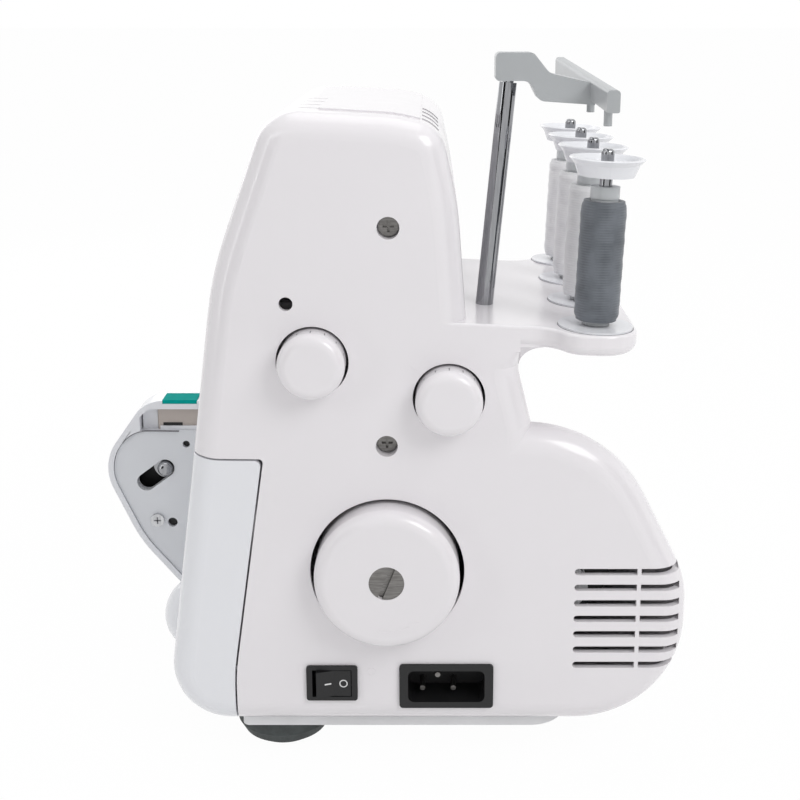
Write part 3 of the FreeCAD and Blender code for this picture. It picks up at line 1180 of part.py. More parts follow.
def pod_block(margin, x1):
    """Pod that tapers to the left, drawn in by a margin."""
    x0 = COLUMN_LEFT_X - POD_STRAIGHT
    start = rounded_face(pod_outline(margin), lambda a, b: Vec(x0, a, b))
    near_y, near_z = -66.0, 62.0
    end = rounded_face(pod_outline(margin), lambda a, b: Vec(
        POD_LEFT_X + margin, near_y + (a - near_y) * POD_SHRINK, near_z + (b - near_z) * POD_SHRINK))
    taper = Part.makeLoft([start.OuterWire, end.OuterWire], True, False)
    return fused([start.extrude(Vec(x1 - x0, 0, 0)), taper])


def door_panel(margin):
    """Door body with the casing's front profile, drawn in by a margin."""
    solid = prism_x(inset(casing_outline(), margin), BED_LEFT_X + margin * 1.2, SIDE_X - margin)
    return round_edges_at(solid, SIDE_X - margin, EDGE_ROUND - margin)


def front_door():
    """Front door: a shell that follows the casing, with a pod, a grip and two hinge knuckles."""
    panel = door_panel(0).common(door_space(0))
    over_bed = box(BED_LEFT_X - 1.0, COLUMN_LEFT_X - 6.0, -130.0, 60.0, BED_TOP_Z - SLACK, 300.0)
    cloth_room = box(BED_LEFT_X - 1.0, BED_LEFT_X + 5.0, SEAM_FOOT_Y - 13.0, 0.0,
                     BED_TOP_Z - PLATE_THICKNESS - 2.4, 300.0)
    panel = panel.cut([door_panel(WALL), over_bed, cloth_room])
    grip = Part.makeSphere(GRIP_RADIUS, Vec(GRIP_X, DOOR_TOE_Y + GRIP_SINK, GRIP_Z)).cut(door_panel(0.5))
    pod = pod_block(0, COLUMN_LEFT_X).cut(door_panel(WALL * 0.5))
    knuckles = [knuckle(x, x + KNUCKLE_WIDTH) for x in KNUCKLES_X]
    door = fused([panel, pod, grip] + knuckles)
    web = COLUMN_LEFT_X - POD_RIM - POD_PLATE_THICKNESS - WALL
    hollow = pod_block(WALL, web)
    window = pod_block(WALL, COLUMN_LEFT_X + 1.0).common(
        box(web - 30.0, COLUMN_LEFT_X + 2.0, -113.0, -60.0, POD_WINDOW_Z, BED_TOP_Z - 1.0))
    seat = pod_block(WALL, COLUMN_LEFT_X + 1.0).common(
        box(web + WALL, COLUMN_LEFT_X + 2.0, -140.0, -60.0, 20.0, POD_WINDOW_Z))
    eye_room = [box(x - DOOR_SLIDE - 1.0, x + HINGE_EYE_WIDTH + 1.0, HINGE_Y - 11.0, SEAM_FOOT_Y + 1.0, 0.0,
                    HINGE_Z + 7.0) for x in HINGE_EYES_X]
    toe_strip = box(BED_LEFT_X - 1.0, SIDE_X + 1.0, HINGE_Y + 1.7, SEAM_FOOT_Y + 1.0, 0.0,
                    BODY_BOTTOM_Z + 0.9)
    strip_seat = seam_strip(SLACK / 10)
    bore = rod_x(BED_LEFT_X, SIDE_X - 5.0, HINGE_Y, HINGE_Z, HINGE_RADIUS + FIT)
    seat = seat.cut(prism_x(inset(casing_outline(), -SLACK), web, COLUMN_LEFT_X + 3.0))
    return door.cut([hollow, window, seat, bore, strip_seat, slot_block(web - 1.0, COLUMN_LEFT_X), toe_strip]
                    + eye_room)


def knuckle(x0, x1):
    """Round hinge knuckle of the door with a web to its front wall."""
    web = box(x0, x1, HINGE_Y - 14.0, HINGE_Y, BODY_BOTTOM_Z + 1.0, HINGE_Z + HINGE_RADIUS + 1.0)
    return web.fuse(rod_x(x0, x1, HINGE_Y, HINGE_Z, HINGE_EYE_RADIUS))


def slot_block(x0, x1):
    """Slanted slot of the latch pin."""
    along = Vec(0, SLOT_FOOT[0] - SLOT_TOP[0], SLOT_FOOT[1] - SLOT_TOP[1])
    ends = [rod_x(x0, x1, SLOT_TOP[0], SLOT_TOP[1], SLOT_HALF_WIDTH),
            rod_x(x0, x1, SLOT_FOOT[0], SLOT_FOOT[1], SLOT_HALF_WIDTH)]
    bar = box(x0, x1, 0, along.Length, -SLOT_HALF_WIDTH, SLOT_HALF_WIDTH)
    bar.rotate(Vec(0, 0, 0), Vec(1, 0, 0), math.degrees(math.atan2(along.z, along.y)))
    bar.translate(Vec(0, SLOT_TOP[0], SLOT_TOP[1]))
    return fused([bar] + ends)


def door_end_plate():
    """Grey plate in the right end of the pod, with the latch slot and its holes."""
    x0 = COLUMN_LEFT_X - POD_RIM - POD_PLATE_THICKNESS
    x1 = COLUMN_LEFT_X - POD_RIM
    plate = prism_x(pod_outline(WALL + 0.2), x0, x1).common(box(x0, x1, -140.0, -60.0, 20.0, POD_WINDOW_Z))
    plate = plate.cut(prism_x(inset(casing_outline(), -SLACK * 2), x0 - 1.0, x1 + 1.0))
    holes = [rod_x(x0 - 1.0, x1 + 1.0, -92.0, 109.5, 1.7), rod_x(x0 - 1.0, x1 + 1.0, -100.1, 70.4, 2.3)]
    seat = rod_x(x0 - 1.0, x1 + 1.0, PLATE_SCREW[0], PLATE_SCREW[1], 1.5)
    return plate.cut(holes + [seat, slot_block(x0 - 1.0, x1 + 1.0)])


def door_plate_screw():
    """Screw of the pod's end plate."""
    x1 = COLUMN_LEFT_X - POD_RIM
    x0 = x1 - POD_PLATE_THICKNESS
    y, z = PLATE_SCREW
    return fused([rod_x(x1, x1 + 1.4, y, z, 3.2), rod_x(x0, x1, y, z, 1.5)])


def seam_strip(margin):
    """Coloured strip let into the top of the pod at its right end."""
    x1 = COLUMN_LEFT_X + margin
    return box(x1 - 11.0 - margin * 2, x1, -102.0 - margin, -86.0 + margin, 129.6 - margin, 131.4)


def latch_pin():
    """Round-headed latch pin in the slanted slot, with a flange behind the web."""
    y, z = SLOT_TOP
    web = COLUMN_LEFT_X - POD_RIM - POD_PLATE_THICKNESS - WALL
    pin = rod_x(web - 6.0, COLUMN_LEFT_X + 2.0, y, z, LATCH_RADIUS)
    tip = [edge for edge in pin.Edges if edge.BoundBox.XMin > COLUMN_LEFT_X + 1.99]
    pin = pin.makeFillet(LATCH_RADIUS * 0.8, tip)
    flange = rod_x(web - SLACK - 2.0, web - SLACK, y, z, 6.5)
    return fused([pin, flange])


def hinge_rod():
    """Rod that the door tilts on and slides with."""
    return rod_x(-110.0, SIDE_X - 16.0, HINGE_Y, HINGE_Z, HINGE_RADIUS)


def assembly():
    """Every piece by name; a list is a group of like pieces."""
    pieces = {
        "base_plate": base_plate(),
        "rubber_feet": rubber_feet(),
        "frame_casting": frame_casting(),
        "right_casing": right_casing(),
        "left_casing": left_casing(),
        "top_plate": top_plate(),
        "bed_casing": bed_casing(),
        "cloth_plate": cloth_plate(),
        "needle_plate": needle_plate(),
        "feed_dog": feed_dog(),
        "lower_knife": lower_knife(),
        "upper_knife": upper_knife(),
        "lower_looper": looper(LOWER_LOOPER_X, -47.0, 1),
        "upper_looper": looper(UPPER_LOOPER_X, -58.0, -1),
        "needle_bar": needle_bar(),
        "needle_clamp": needle_clamp(),
        "needles": needles(),
        "presser_bar": presser_bar(),
        "presser_foot": presser_foot(),
        "presser_lever": presser_lever(),
        "main_shaft": main_shaft(),
        "handwheel": handwheel(),
        "handwheel_screw": handwheel_screw(),
        "shaft_pulley": pulley(SHAFT_Y, SHAFT_Z, SHAFT_PULLEY_RADIUS, SHAFT_RADIUS),
        "motor_pulley": motor_pulley(),
        "drive_belt": drive_belt(),
        "motor_body": motor_body(),
        "stitch_length_dial": side_dial(LENGTH_DIAL_Y, LENGTH_DIAL_Z),
        "differential_dial": side_dial(FEED_DIAL_Y, FEED_DIAL_Z),
        "switch_bezel": switch_bezel(),
        "switch_rocker": switch_rocker(),
        "inlet_housing": inlet_housing(),
        "inlet_pins": inlet_pins(),
        "cover_screws": cover_screws(),
        "spool_tray": spool_tray(),
        "spool_rests": spool_rests(),
        "spool_pins": spool_pins(),
        "spool_caps": spool_caps(),
        "pole_tube": pole_tube(),
        "pole_rod": pole_rod(),
        "thread_guide": thread_guide(),
        "tension_shaft": tension_shaft(),
        "front_door": front_door(),
        "door_end_plate": door_end_plate(),
        "door_plate_screw": door_plate_screw(),
        "seam_guide_strip": seam_strip(0),
        "latch_pin": latch_pin(),
        "hinge_rod": hinge_rod(),
    }
    for number, x in enumerate(TENSION_X, start=1):
        pieces["tension_dial_%d" % number] = tension_dial(x)
    for number, x in enumerate(spool_places(), start=1):
        pieces["spool_%d_core" % number] = spool_core(x)
        pieces["spool_%d_thread" % number] = spool_thread(x)
    return pieces


os.makedirs("parts", exist_ok=True)
for name, shape in assembly().items():
    solid = Part.makeCompound(shape) if isinstance(shape, list) else shape
    solid.exportStep("parts/%s.step" % name)
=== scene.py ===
import json
import math

import bmesh
import bpy
from mathutils import Matrix, Vector


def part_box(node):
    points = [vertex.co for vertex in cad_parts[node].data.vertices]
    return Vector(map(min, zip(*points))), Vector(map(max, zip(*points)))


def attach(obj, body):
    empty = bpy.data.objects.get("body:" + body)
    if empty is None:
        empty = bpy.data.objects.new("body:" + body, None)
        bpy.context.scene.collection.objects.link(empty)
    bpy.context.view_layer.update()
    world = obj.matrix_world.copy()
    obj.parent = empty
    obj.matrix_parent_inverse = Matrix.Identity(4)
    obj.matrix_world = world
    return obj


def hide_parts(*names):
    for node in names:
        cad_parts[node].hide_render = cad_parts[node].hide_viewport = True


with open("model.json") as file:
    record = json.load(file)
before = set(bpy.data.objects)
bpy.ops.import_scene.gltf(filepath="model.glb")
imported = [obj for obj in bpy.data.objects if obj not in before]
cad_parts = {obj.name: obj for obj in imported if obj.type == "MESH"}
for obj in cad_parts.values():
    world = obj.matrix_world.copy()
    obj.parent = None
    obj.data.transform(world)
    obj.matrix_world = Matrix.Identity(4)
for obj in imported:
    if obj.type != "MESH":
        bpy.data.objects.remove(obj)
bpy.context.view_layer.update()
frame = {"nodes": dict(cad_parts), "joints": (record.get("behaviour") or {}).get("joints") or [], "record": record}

MM = 0.001
SIDE_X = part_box("right_casing")[1].x
SPOOLS = (1, 2, 3, 4)
ALMOST_ONE_SPOT = 1e-6
ARC_STEPS = 24

# Directions in the side view: ACROSS points to the back
ACROSS, UP = Vector((0, 1, 0)), Vector((0, 0, 1))

# Marks on the side wall, wheel, dials and rocker
MARK_HEIGHT = 0.15 * MM
INK_HEIGHT = 0.06 * MM
MARK_WIDTH = 0.5 * MM
RING_WIDTH = 0.45 * MM
ON_MARK_FOOT = Vector((SIDE_X, -31.9 * MM, 42.4 * MM))
ON_MARK_LENGTH = 3.4 * MM
OFF_MARK_CENTRE = Vector((SIDE_X, -1.9 * MM, 42.6 * MM))
OFF_MARK_RADIUS = 1.6 * MM
INDEX_DEGREES = 139
INDEX_START = 16.6 * MM
INDEX_END = 19.6 * MM
ARROW_RADIUS = 21.0 * MM
ARROW_WIDTH = 1.2 * MM
ARROW_HALF_HEAD = 2.2 * MM
ARROW_TAIL, ARROW_NECK, ARROW_TIP = -100, -64, -52
TICK_COUNT = 9
TICK_STEP_DEGREES = 24
TICK_FROM_WALL = 2.0 * MM
TICK_WIDTH = 0.4 * MM
TICK_HEIGHT = 0.04 * MM
SHORT_TICK = 2.4 * MM
LONG_TICK = 3.4 * MM
ROCKER_PIVOT_DEPTH = 3.0 * MM
ROCKER_TILT_DEGREES = 8.0
ROCKER_HALF_WIDTH = 7.1 * MM
ROCKER_EDGE_HEIGHT = 5.2 * MM
ROCKER_MIDDLE_HEIGHT = 4.0 * MM
ROCKER_DASH_START = 3.6 * MM
ROCKER_DASH_END = 0.9 * MM
ROCKER_DASH_WIDTH = 0.6 * MM
ROCKER_RING_PLACE = 4.2 * MM
ROCKER_RING_RADIUS = 1.5 * MM

# Windings of the spools
THREAD_HALF = 23.15 * MM
THREAD_BORE = 5.4 * MM
THREAD_RADIUS = 8.9 * MM
WIND_ROWS = 46
WIND_STEPS = 48
ROW_INSET = 0.2 * MM
ROW_DIP = 0.05 * MM
WIND_SWELL = 0.12 * MM
SHOULDER_FALL = 0.75 * MM
SHOULDER_STEPS = 5
END_FALL = 1.0 * MM
END_MARGIN = 0.6 * MM

# Painted shadow: a dark hairline round each spool rest, where the rest's rim shades the tray, below the point that
# the spool's joint gives
REST_DROP = 9.8 * MM
REST_SHADOW_RADIUS = 14.7 * MM
REST_SHADOW_WIDTH = 0.35 * MM

# Right end of the pod, in millimetres
POD_CORNER_Y = -117.3
POD_CORNER_RADIUS = 14.5
POD_CORNER_SIDE = Vector((-0.579, -0.815))
POD_RIM_HEIGHT = 0.95
# The groove round the end plate's corner and top is painted shade: a raised dark line, not a cut
GROOVE_SHADE_END_Y = -95.0
GROOVE_SHADE_WIDTH = 0.4
GROOVE_SHADE_HEIGHT = 1.0
GUARD_FRONT_Y = -105.0
GUARD_BACK_Y = -72.0
GUARD_HEIGHT = 11.4
GUARD_REACH = 3.5
GUARD_SETBACK = 0.4
LEDGE_FRONT_Y = -104.0
LEDGE_HEIGHT = 1.8
LEDGE_REACH = 0.6
GUARD_POST_Y = (-112.4, -105.4)
GUARD_POST_DEPTHS = (5.0, 1.5)
GUARD_POST_HEIGHT = 9.8
# The guard's slot is painted shade: a thin black sheet on its face
GUARD_SLOT_SHADE_Y = (-102.7, -93.7)
GUARD_SLOT_SHADE_HEIGHT = 1.4
GUARD_SLOT_SHADE_THICKNESS = 0.2
END_PLATE_HOLES = [(-92.0, 109.5, 1.7), (-100.1, 70.4, 2.3)]
# Painted shade: black discs on the hole floors and a black sheet behind the latch slot, for the shaded hollow seen
# through them
HOLE_SHADE_THICKNESS = 0.1
HOLE_CLEARANCE = 0.05
LATCH_SHADE_SHEET = [(-122, 112), (-126.5, 101), (-122, 84), (-112, 66), (-76, 66), (-76, 112)]
LATCH_SHADE_SHEET_DEPTHS = (10.4, 9.8)
# Painted shade of the screw head's cross recess: a flat dark cross
SCREW_SHADE_REACH = 1.7
SCREW_SHADE_WIDTH = 0.7
SCREW_SHADE_HEIGHT = 0.05

# Studio
WORLD_STRENGTH = 0.62
FLOOR_GLOW_SHARE = 0.975
FLOOR_SIZE = 20.0
LIGHT_TARGET = Vector((0, 0, 0.13))
CARD_TARGET = Vector((70 * MM, 50 * MM, 0))
CAMERA_SPOT = (586 * MM, 22.2 * MM, 308.5 * MM)
CAMERA_TILT_DEGREES = 77


# Small helpers

def linear(hex_colour):
    """sRGB hex to linear RGBA."""
    channels = [int(hex_colour[i:i + 2], 16) / 255 for i in (1, 3, 5)]
    return [c / 12.92 if c <= 0.04045 else ((c + 0.055) / 1.055) ** 2.4 for c in channels] + [1.0]


def add(tree, kind, inputs=None, **settings):
    """A node with its settings, its constants and its links; a socket in inputs is linked."""
    made = tree.nodes.new(kind)
    for key, value in settings.items():
        setattr(made, key, value)
    for key, value in (inputs or {}).items():
        if isinstance(value, bpy.types.NodeSocket):
            tree.links.new(value, made.inputs[key])
        else:
            made.inputs[key].default_value = value
    return made


def new_material(name):
    """An empty node material with its output and its Principled shader."""
    material = bpy.data.materials.new(name)
    material.use_nodes = True
    tree = material.node_tree
    tree.nodes.clear()
    shader = add(tree, "ShaderNodeBsdfPrincipled")
    add(tree, "ShaderNodeOutputMaterial", {"Surface": shader.outputs["BSDF"]})
    return material, tree, shader


def grain(tree, size_mm, detail=2.0):
    """Value of a noise of a real grain size, on the piece's own coordinates."""
    place = add(tree, "ShaderNodeTexCoord")
    noise = add(tree, "ShaderNodeTexNoise", {"Vector": place.outputs["Object"], "Scale": 1 / (size_mm * MM),
                                             "Detail": detail, "Roughness": 0.5})
    return noise.outputs["Fac"]


def tint(tree, pattern, dark, light, low=0.35, high=0.65):
    """Two close colours mixed by a pattern's value, between a low and a high one."""
    mixed = add(tree, "ShaderNodeValToRGB", {"Fac": pattern})
    for element, place, colour in zip(mixed.color_ramp.elements, (low, high), (dark, light)):
        element.position = place
        element.color = linear(colour)
    return mixed.outputs["Color"]


def bump(tree, shader, height, depth_mm, strength):
    """Bump of a real depth from a height socket."""
    made = add(tree, "ShaderNodeBump", {"Height": height, "Distance": depth_mm * MM, "Strength": strength})
    tree.links.new(made.outputs["Normal"], shader.inputs["Normal"])


# Materials

def moulded_abs(name, dark, light, roughness, coat):
    """Moulded ABS: an even colour, a faint orange-peel skin and a soft gloss."""
    material, tree, shader = new_material(name)
    tree.links.new(tint(tree, grain(tree, 45), dark, light), shader.inputs["Base Color"])
    bump(tree, shader, grain(tree, 0.9), 0.02, 0.25)
    handled = add(tree, "ShaderNodeMapRange", {"Value": grain(tree, 14),
                                               "To Min": roughness - 0.015, "To Max": roughness + 0.015})
    tree.links.new(handled.outputs["Result"], shader.inputs["Roughness"])
    shader.inputs["IOR"].default_value = 1.5
    shader.inputs["Coat Weight"].default_value = coat
    shader.inputs["Coat Roughness"].default_value = 0.12
    return material


def textured_abs(name, dark, light, roughness):
    """Spark-eroded ABS: a fine matt grain that breaks up the gloss."""
    material, tree, shader = new_material(name)
    fine = grain(tree, 0.5, 4.0)
    tree.links.new(tint(tree, fine, dark, light), shader.inputs["Base Color"])
    bump(tree, shader, fine, 0.05, 0.5)
    shader.inputs["Roughness"].default_value = roughness
    shader.inputs["IOR"].default_value = 1.5
    return material


def nitrile_rubber(name, dark, light):
    """Moulded rubber: dull, slightly dusty, with a fine grain."""
    material, tree, shader = new_material(name)
    tree.links.new(tint(tree, grain(tree, 6, 5.0), dark, light), shader.inputs["Base Color"])
    bump(tree, shader, grain(tree, 0.6), 0.06, 0.6)
    shader.inputs["Roughness"].default_value = 0.78
    shader.inputs["IOR"].default_value = 1.52
    return material


def metal(name, dark, light, low, high, streak_mm, along):
    """Drawn or ground metal: fine streaks along one direction break the reflection."""
    material, tree, shader = new_material(name)
    place = add(tree, "ShaderNodeTexCoord")
    stretch = [0.08 if axis == along else 1.0 for axis in "XYZ"]
    run = add(tree, "ShaderNodeMapping", {"Vector": place.outputs["Object"], "Scale": stretch})
    streaks = add(tree, "ShaderNodeTexNoise", {"Vector": run.outputs["Vector"], "Scale": 1 / (streak_mm * MM),
                                               "Detail": 3.0})
    tree.links.new(tint(tree, streaks.outputs["Fac"], dark, light), shader.inputs["Base Color"])
    rough = add(tree, "ShaderNodeMapRange", {"Value": streaks.outputs["Fac"], "To Min": low, "To Max": high})
    tree.links.new(rough.outputs["Result"], shader.inputs["Roughness"])
    bump(tree, shader, streaks.outputs["Fac"], 0.01, 0.2)
    shader.inputs["Metallic"].default_value = 1.0
    return material


def cast_aluminium(name):
    """Sand-cast aluminium: grainy, grey and dull."""
    material, tree, shader = new_material(name)
    sand = grain(tree, 1.2, 6.0)
    tree.links.new(tint(tree, sand, "#8C8E90", "#B4B6B8"), shader.inputs["Base Color"])
    bump(tree, shader, sand, 0.15, 0.6)
    shader.inputs["Metallic"].default_value = 1.0
    shader.inputs["Roughness"].default_value = 0.5
    return material


def stove_enamel(name, dark, light):
    """Stove-enamelled sheet: smooth paint with a little orange peel."""
    material, tree, shader = new_material(name)
    tree.links.new(tint(tree, grain(tree, 20), dark, light), shader.inputs["Base Color"])
    bump(tree, shader, grain(tree, 1.5), 0.03, 0.4)
    shader.inputs["Roughness"].default_value = 0.42
    shader.inputs["IOR"].default_value = 1.5
    return material


def spun_polyester(name, dark, light):
    """Cross-wound polyester thread: two sets of windings cross over each other. Real thread is about
    0.3 mm thick, too fine for the render, so the rows are drawn about three times as coarse."""
    material, tree, shader = new_material(name)
    uv = add(tree, "ShaderNodeUVMap", uv_map="winding")
    waves = []
    for turns in (2.0, -5.0):
        lead = (turns * math.tau, WIND_ROWS * math.tau, 0)
        slope = add(tree, "ShaderNodeVectorMath", {0: uv.outputs["UV"], 1: lead}, operation="DOT_PRODUCT")
        waves.append(add(tree, "ShaderNodeMath", {0: slope.outputs["Value"]}, operation="SINE"))
    crossed = add(tree, "ShaderNodeMath", {0: waves[0].outputs[0], 1: waves[1].outputs[0]},
                  operation="MAXIMUM")
    lay = add(tree, "ShaderNodeMath", {0: crossed.outputs[0], 1: 0.1, 2: grain(tree, 9, 4.0)},
              operation="MULTIPLY_ADD")
    tree.links.new(tint(tree, lay.outputs[0], dark, light, 0.3, 0.7), shader.inputs["Base Color"])
    bump(tree, shader, crossed.outputs[0], 0.06, 0.5)
    shader.inputs["Roughness"].default_value = 0.55
    shader.inputs["Sheen Weight"].default_value = 0.2
    return material


def soft_touch_strip(name, dark, light):
    """Soft-touch elastomer: a deep matt colour with hardly any gloss."""
    material, tree, shader = new_material(name)
    tree.links.new(tint(tree, grain(tree, 6), dark, light), shader.inputs["Base Color"])
    bump(tree, shader, grain(tree, 0.6), 0.02, 0.2)
    shader.inputs["Roughness"].default_value = 0.75
    shader.inputs["Specular IOR Level"].default_value = 0.08
    return material


def natural_polypropylene(name):
    """Uncoloured polypropylene: milky, and a little light passes through."""
    material, tree, shader = new_material(name)
    tree.links.new(tint(tree, grain(tree, 8), "#D3D6D8", "#DEE1E3"), shader.inputs["Base Color"])
    bump(tree, shader, grain(tree, 0.8), 0.02, 0.3)
    shader.inputs["Roughness"].default_value = 0.3
    shader.inputs["IOR"].default_value = 1.49
    shader.inputs["Transmission Weight"].default_value = 0.35
    return material


FINISHES = {
    "white_casing": moulded_abs("moulded_abs_white", "#EAE7EA", "#EBE8EB", 0.24, 0.35),
    "door_white": moulded_abs("moulded_abs_cool_white", "#E8E9ED", "#E9EAEE", 0.26, 0.3),
    "grey_plastic": moulded_abs("moulded_abs_grey", "#A6A9AB", "#AEB1B3", 0.36, 0.1),
    "light_grey_panel": moulded_abs("moulded_abs_light_grey", "#D8DADE", "#DFE1E5", 0.34, 0.1),
    "base_steel": stove_enamel("enamelled_sheet_steel", "#E0E0E2", "#E6E6E8"),
    "foot_rubber": nitrile_rubber("nitrile_rubber_foot", "#3A3E3E", "#484D4D"),
    "cast_frame": cast_aluminium("cast_aluminium_frame"),
    "bright_steel": metal("ground_steel", "#B4B5B7", "#CFD0D2", 0.22, 0.38, 0.5, "Z"),
    "dark_steel": metal("blackened_steel", "#6E6C6A", "#868482", 0.3, 0.45, 0.4, "Y"),
    "chrome_pole": metal("chromed_steel_tube", "#909194", "#9E9FA2", 0.05, 0.12, 0.6, "Z"),
    "black_plastic": textured_abs("spark_eroded_abs_black", "#0A0A0C", "#101012", 0.55),
    "belt_rubber": nitrile_rubber("toothed_belt_rubber", "#161616", "#222222"),
    "motor_paint": stove_enamel("enamelled_motor_case", "#2A2B2D", "#363739"),
    "teal_plastic": soft_touch_strip("soft_touch_elastomer_teal", "#009A92", "#00A199"),
    "grey_thread": spun_polyester("spun_polyester_grey", "#50555B", "#6B7077"),
    "white_thread": spun_polyester("spun_polyester_white", "#DEDEE0", "#EAEAEB"),
}
MARK_INK = moulded_abs("printed_mark_white", "#DCDCDC", "#E4E4E4", 0.5, 0.0)
# Grey for the printed dial graduations, and also for painted shade: the rest rings, the end plate groove and the
# screw's cross recess
PRINT_AND_SHADE_GREY = moulded_abs("print_and_painted_shade_grey", "#6E6E72", "#7A7A7E", 0.5, 0.0)
CORE_PLASTIC = natural_polypropylene("natural_polypropylene_core")
GUARD_PLASTIC = moulded_abs("moulded_abs_beige_guard", "#B9AFA8", "#C0B6AF", 0.4, 0.05)


def dress_nodes():
    """Every CAD node takes the finish of its record slot, unless node_finish gives it another."""
    for row in frame["record"]["subparts"]:
        slots = frame["nodes"][row["node"]].data.materials
        slots.clear()
        slots.append(node_finish(row["node"], row["material_slot"]))


def node_finish(node, slot):
    """Milky spool cores, a bright screw in the end plate, a white top plate, and else the slot's finish."""
    if node.endswith("_core"):
        return CORE_PLASTIC
    if node == "door_plate_screw":
        return FINISHES["bright_steel"]
    if node == "top_plate":
        return FINISHES["white_casing"]
    return FINISHES[slot]


# Pieces

def piece(name, mesh, body, slot, finish=None):
    """A finished piece from a bmesh: normals outwards, riding on a body, in its slot's or another finish."""
    bmesh.ops.remove_doubles(mesh, verts=mesh.verts, dist=ALMOST_ONE_SPOT)
    bmesh.ops.recalc_face_normals(mesh, faces=mesh.faces)
    data = bpy.data.meshes.new(name)
    mesh.to_mesh(data)
    mesh.free()
    data.materials.append(finish or FINISHES[slot])
    made = bpy.data.objects.new(name, data)
    bpy.context.scene.collection.objects.link(made)
    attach(made, body)
    return made


def joint(name):
    """Joint of that name in the record."""
    return next(j for j in frame["joints"] if j["name"] == name)


def winding_profile(number):
    """Closed half section of a winding: radius and height of each point, ridged and softly swollen."""
    steps = WIND_ROWS * 2
    run = 2 * (THREAD_HALF - END_MARGIN)
    points = [(THREAD_BORE, -THREAD_HALF), (THREAD_RADIUS - END_FALL, -THREAD_HALF)]
    for i in range(steps + 1):
        height = END_MARGIN - THREAD_HALF + run * i / steps
        dip = ROW_DIP if i % 2 else 0.0
        swell = WIND_SWELL * math.sin(i * 0.47 + number) * math.sin(i * 0.17)
        shoulder = SHOULDER_FALL * max(0, 1 - min(i, steps - i) / SHOULDER_STEPS) ** 2
        points.append((THREAD_RADIUS - ROW_INSET - dip - shoulder + swell, height))
    return points + [(THREAD_RADIUS - END_FALL, THREAD_HALF), (THREAD_BORE, THREAD_HALF)]


def wound_thread(number):
    """Winding on a spool: a ridged profile spun about the spool's axis, with a UV map round it."""
    node = "spool_%d_thread" % number
    low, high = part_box(node)
    axis = Vector(joint("spool_%d_spin" % number)["axis"]).normalized()
    turn = UP.rotation_difference(axis).to_matrix().to_4x4()
    mesh = bmesh.new()
    uv = mesh.loops.layers.uv.new("winding")
    ring = [mesh.verts.new((r, 0, h)) for r, h in winding_profile(number)]
    edges = [mesh.edges.new((ring[i - 1], ring[i])) for i in range(len(ring))]
    bmesh.ops.spin(mesh, geom=ring + edges, cent=(0, 0, 0), axis=UP, angle=math.tau, steps=WIND_STEPS,
                   use_merge=True)
    bmesh.ops.remove_doubles(mesh, verts=mesh.verts, dist=ALMOST_ONE_SPOT)
    for face in mesh.faces:
        face.smooth = True
        start = face.calc_center_median()
        base = math.atan2(start.y, start.x)
        for loop in face.loops:
            spot = loop.vert.co
            wrap = (math.atan2(spot.y, spot.x) - base + math.pi) % math.tau - math.pi
            loop[uv].uv = ((base + wrap) / math.tau, (spot.z + THREAD_HALF) / (2 * THREAD_HALF))
    bmesh.ops.transform(mesh, matrix=Matrix.Translation((low + high) / 2) @ turn, verts=mesh.verts)
    made = piece("thread_winding_%d" % number, mesh, "spool_%d" % number,
                 "grey_thread" if number == 1 else "white_thread")
    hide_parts(node)


def flat_plate(mesh, outline, lift):
    """Thin raised plate: a flat outline, extruded."""
    base = mesh.faces.new([mesh.verts.new(p) for p in outline])
    raised = bmesh.ops.extrude_face_region(mesh, geom=[base])["geom"]
    bmesh.ops.translate(mesh, vec=lift, verts=[v for v in raised if isinstance(v, bmesh.types.BMVert)])


def flat_bar(mesh, start, end, width, lift):
    """Thin raised bar from start to end, two points on a surface."""
    side = lift.cross(end - start).normalized() * width / 2
    flat_plate(mesh, [start - side, end - side, end + side, start + side], lift)


def ring_arc(mesh, centre, across, up, radius, first, last, width, lift):
    """Thin raised arc: a section spun round a centre, between two angles in degrees, which are counted
    from across towards up; a whole turn closes."""
    angle = math.radians(first)
    ray = across * math.cos(angle) + up * math.sin(angle)
    inner = centre + ray * (radius - width / 2)
    outer = centre + ray * (radius + width / 2)
    section = mesh.faces.new([mesh.verts.new(p) for p in (inner, outer, outer + lift, inner + lift)])
    spun = list(section.verts) + list(section.edges)
    whole = last - first >= 360
    if whole:
        mesh.faces.remove(section)
    else:
        spun.append(section)
    bmesh.ops.spin(mesh, geom=spun, cent=centre, axis=across.cross(up), angle=math.radians(last - first),
                   steps=ARC_STEPS, use_merge=whole)


def ray_at(degrees):
    """Direction in the side view: 0 points to the back, 90 up."""
    return ACROSS * math.cos(math.radians(degrees)) + UP * math.sin(math.radians(degrees))


def middle_of(node):
    """Middle of a node's box."""
    low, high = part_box(node)
    return (low + high) / 2


def outer_middle(node):
    """Middle of a node's outer end, on the handwheel side."""
    spot = middle_of(node)
    spot.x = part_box(node)[1].x
    return spot


def side_marks():
    """Raised I and O beside the switch and an index line beside the differential dial, on the side wall."""
    lift = Vector((MARK_HEIGHT, 0, 0))
    mesh = bmesh.new()
    flat_bar(mesh, ON_MARK_FOOT, ON_MARK_FOOT + UP * ON_MARK_LENGTH, MARK_WIDTH, lift)
    ring_arc(mesh, OFF_MARK_CENTRE, ACROSS, UP, OFF_MARK_RADIUS, 0, 360, RING_WIDTH, lift)
    dial = middle_of("differential_dial")
    centre = Vector((SIDE_X, dial.y, dial.z))
    ray = ray_at(INDEX_DEGREES)
    flat_bar(mesh, centre + ray * INDEX_START, centre + ray * INDEX_END, MARK_WIDTH, lift)
    piece("side_wall_marks", mesh, "base", "white_casing")


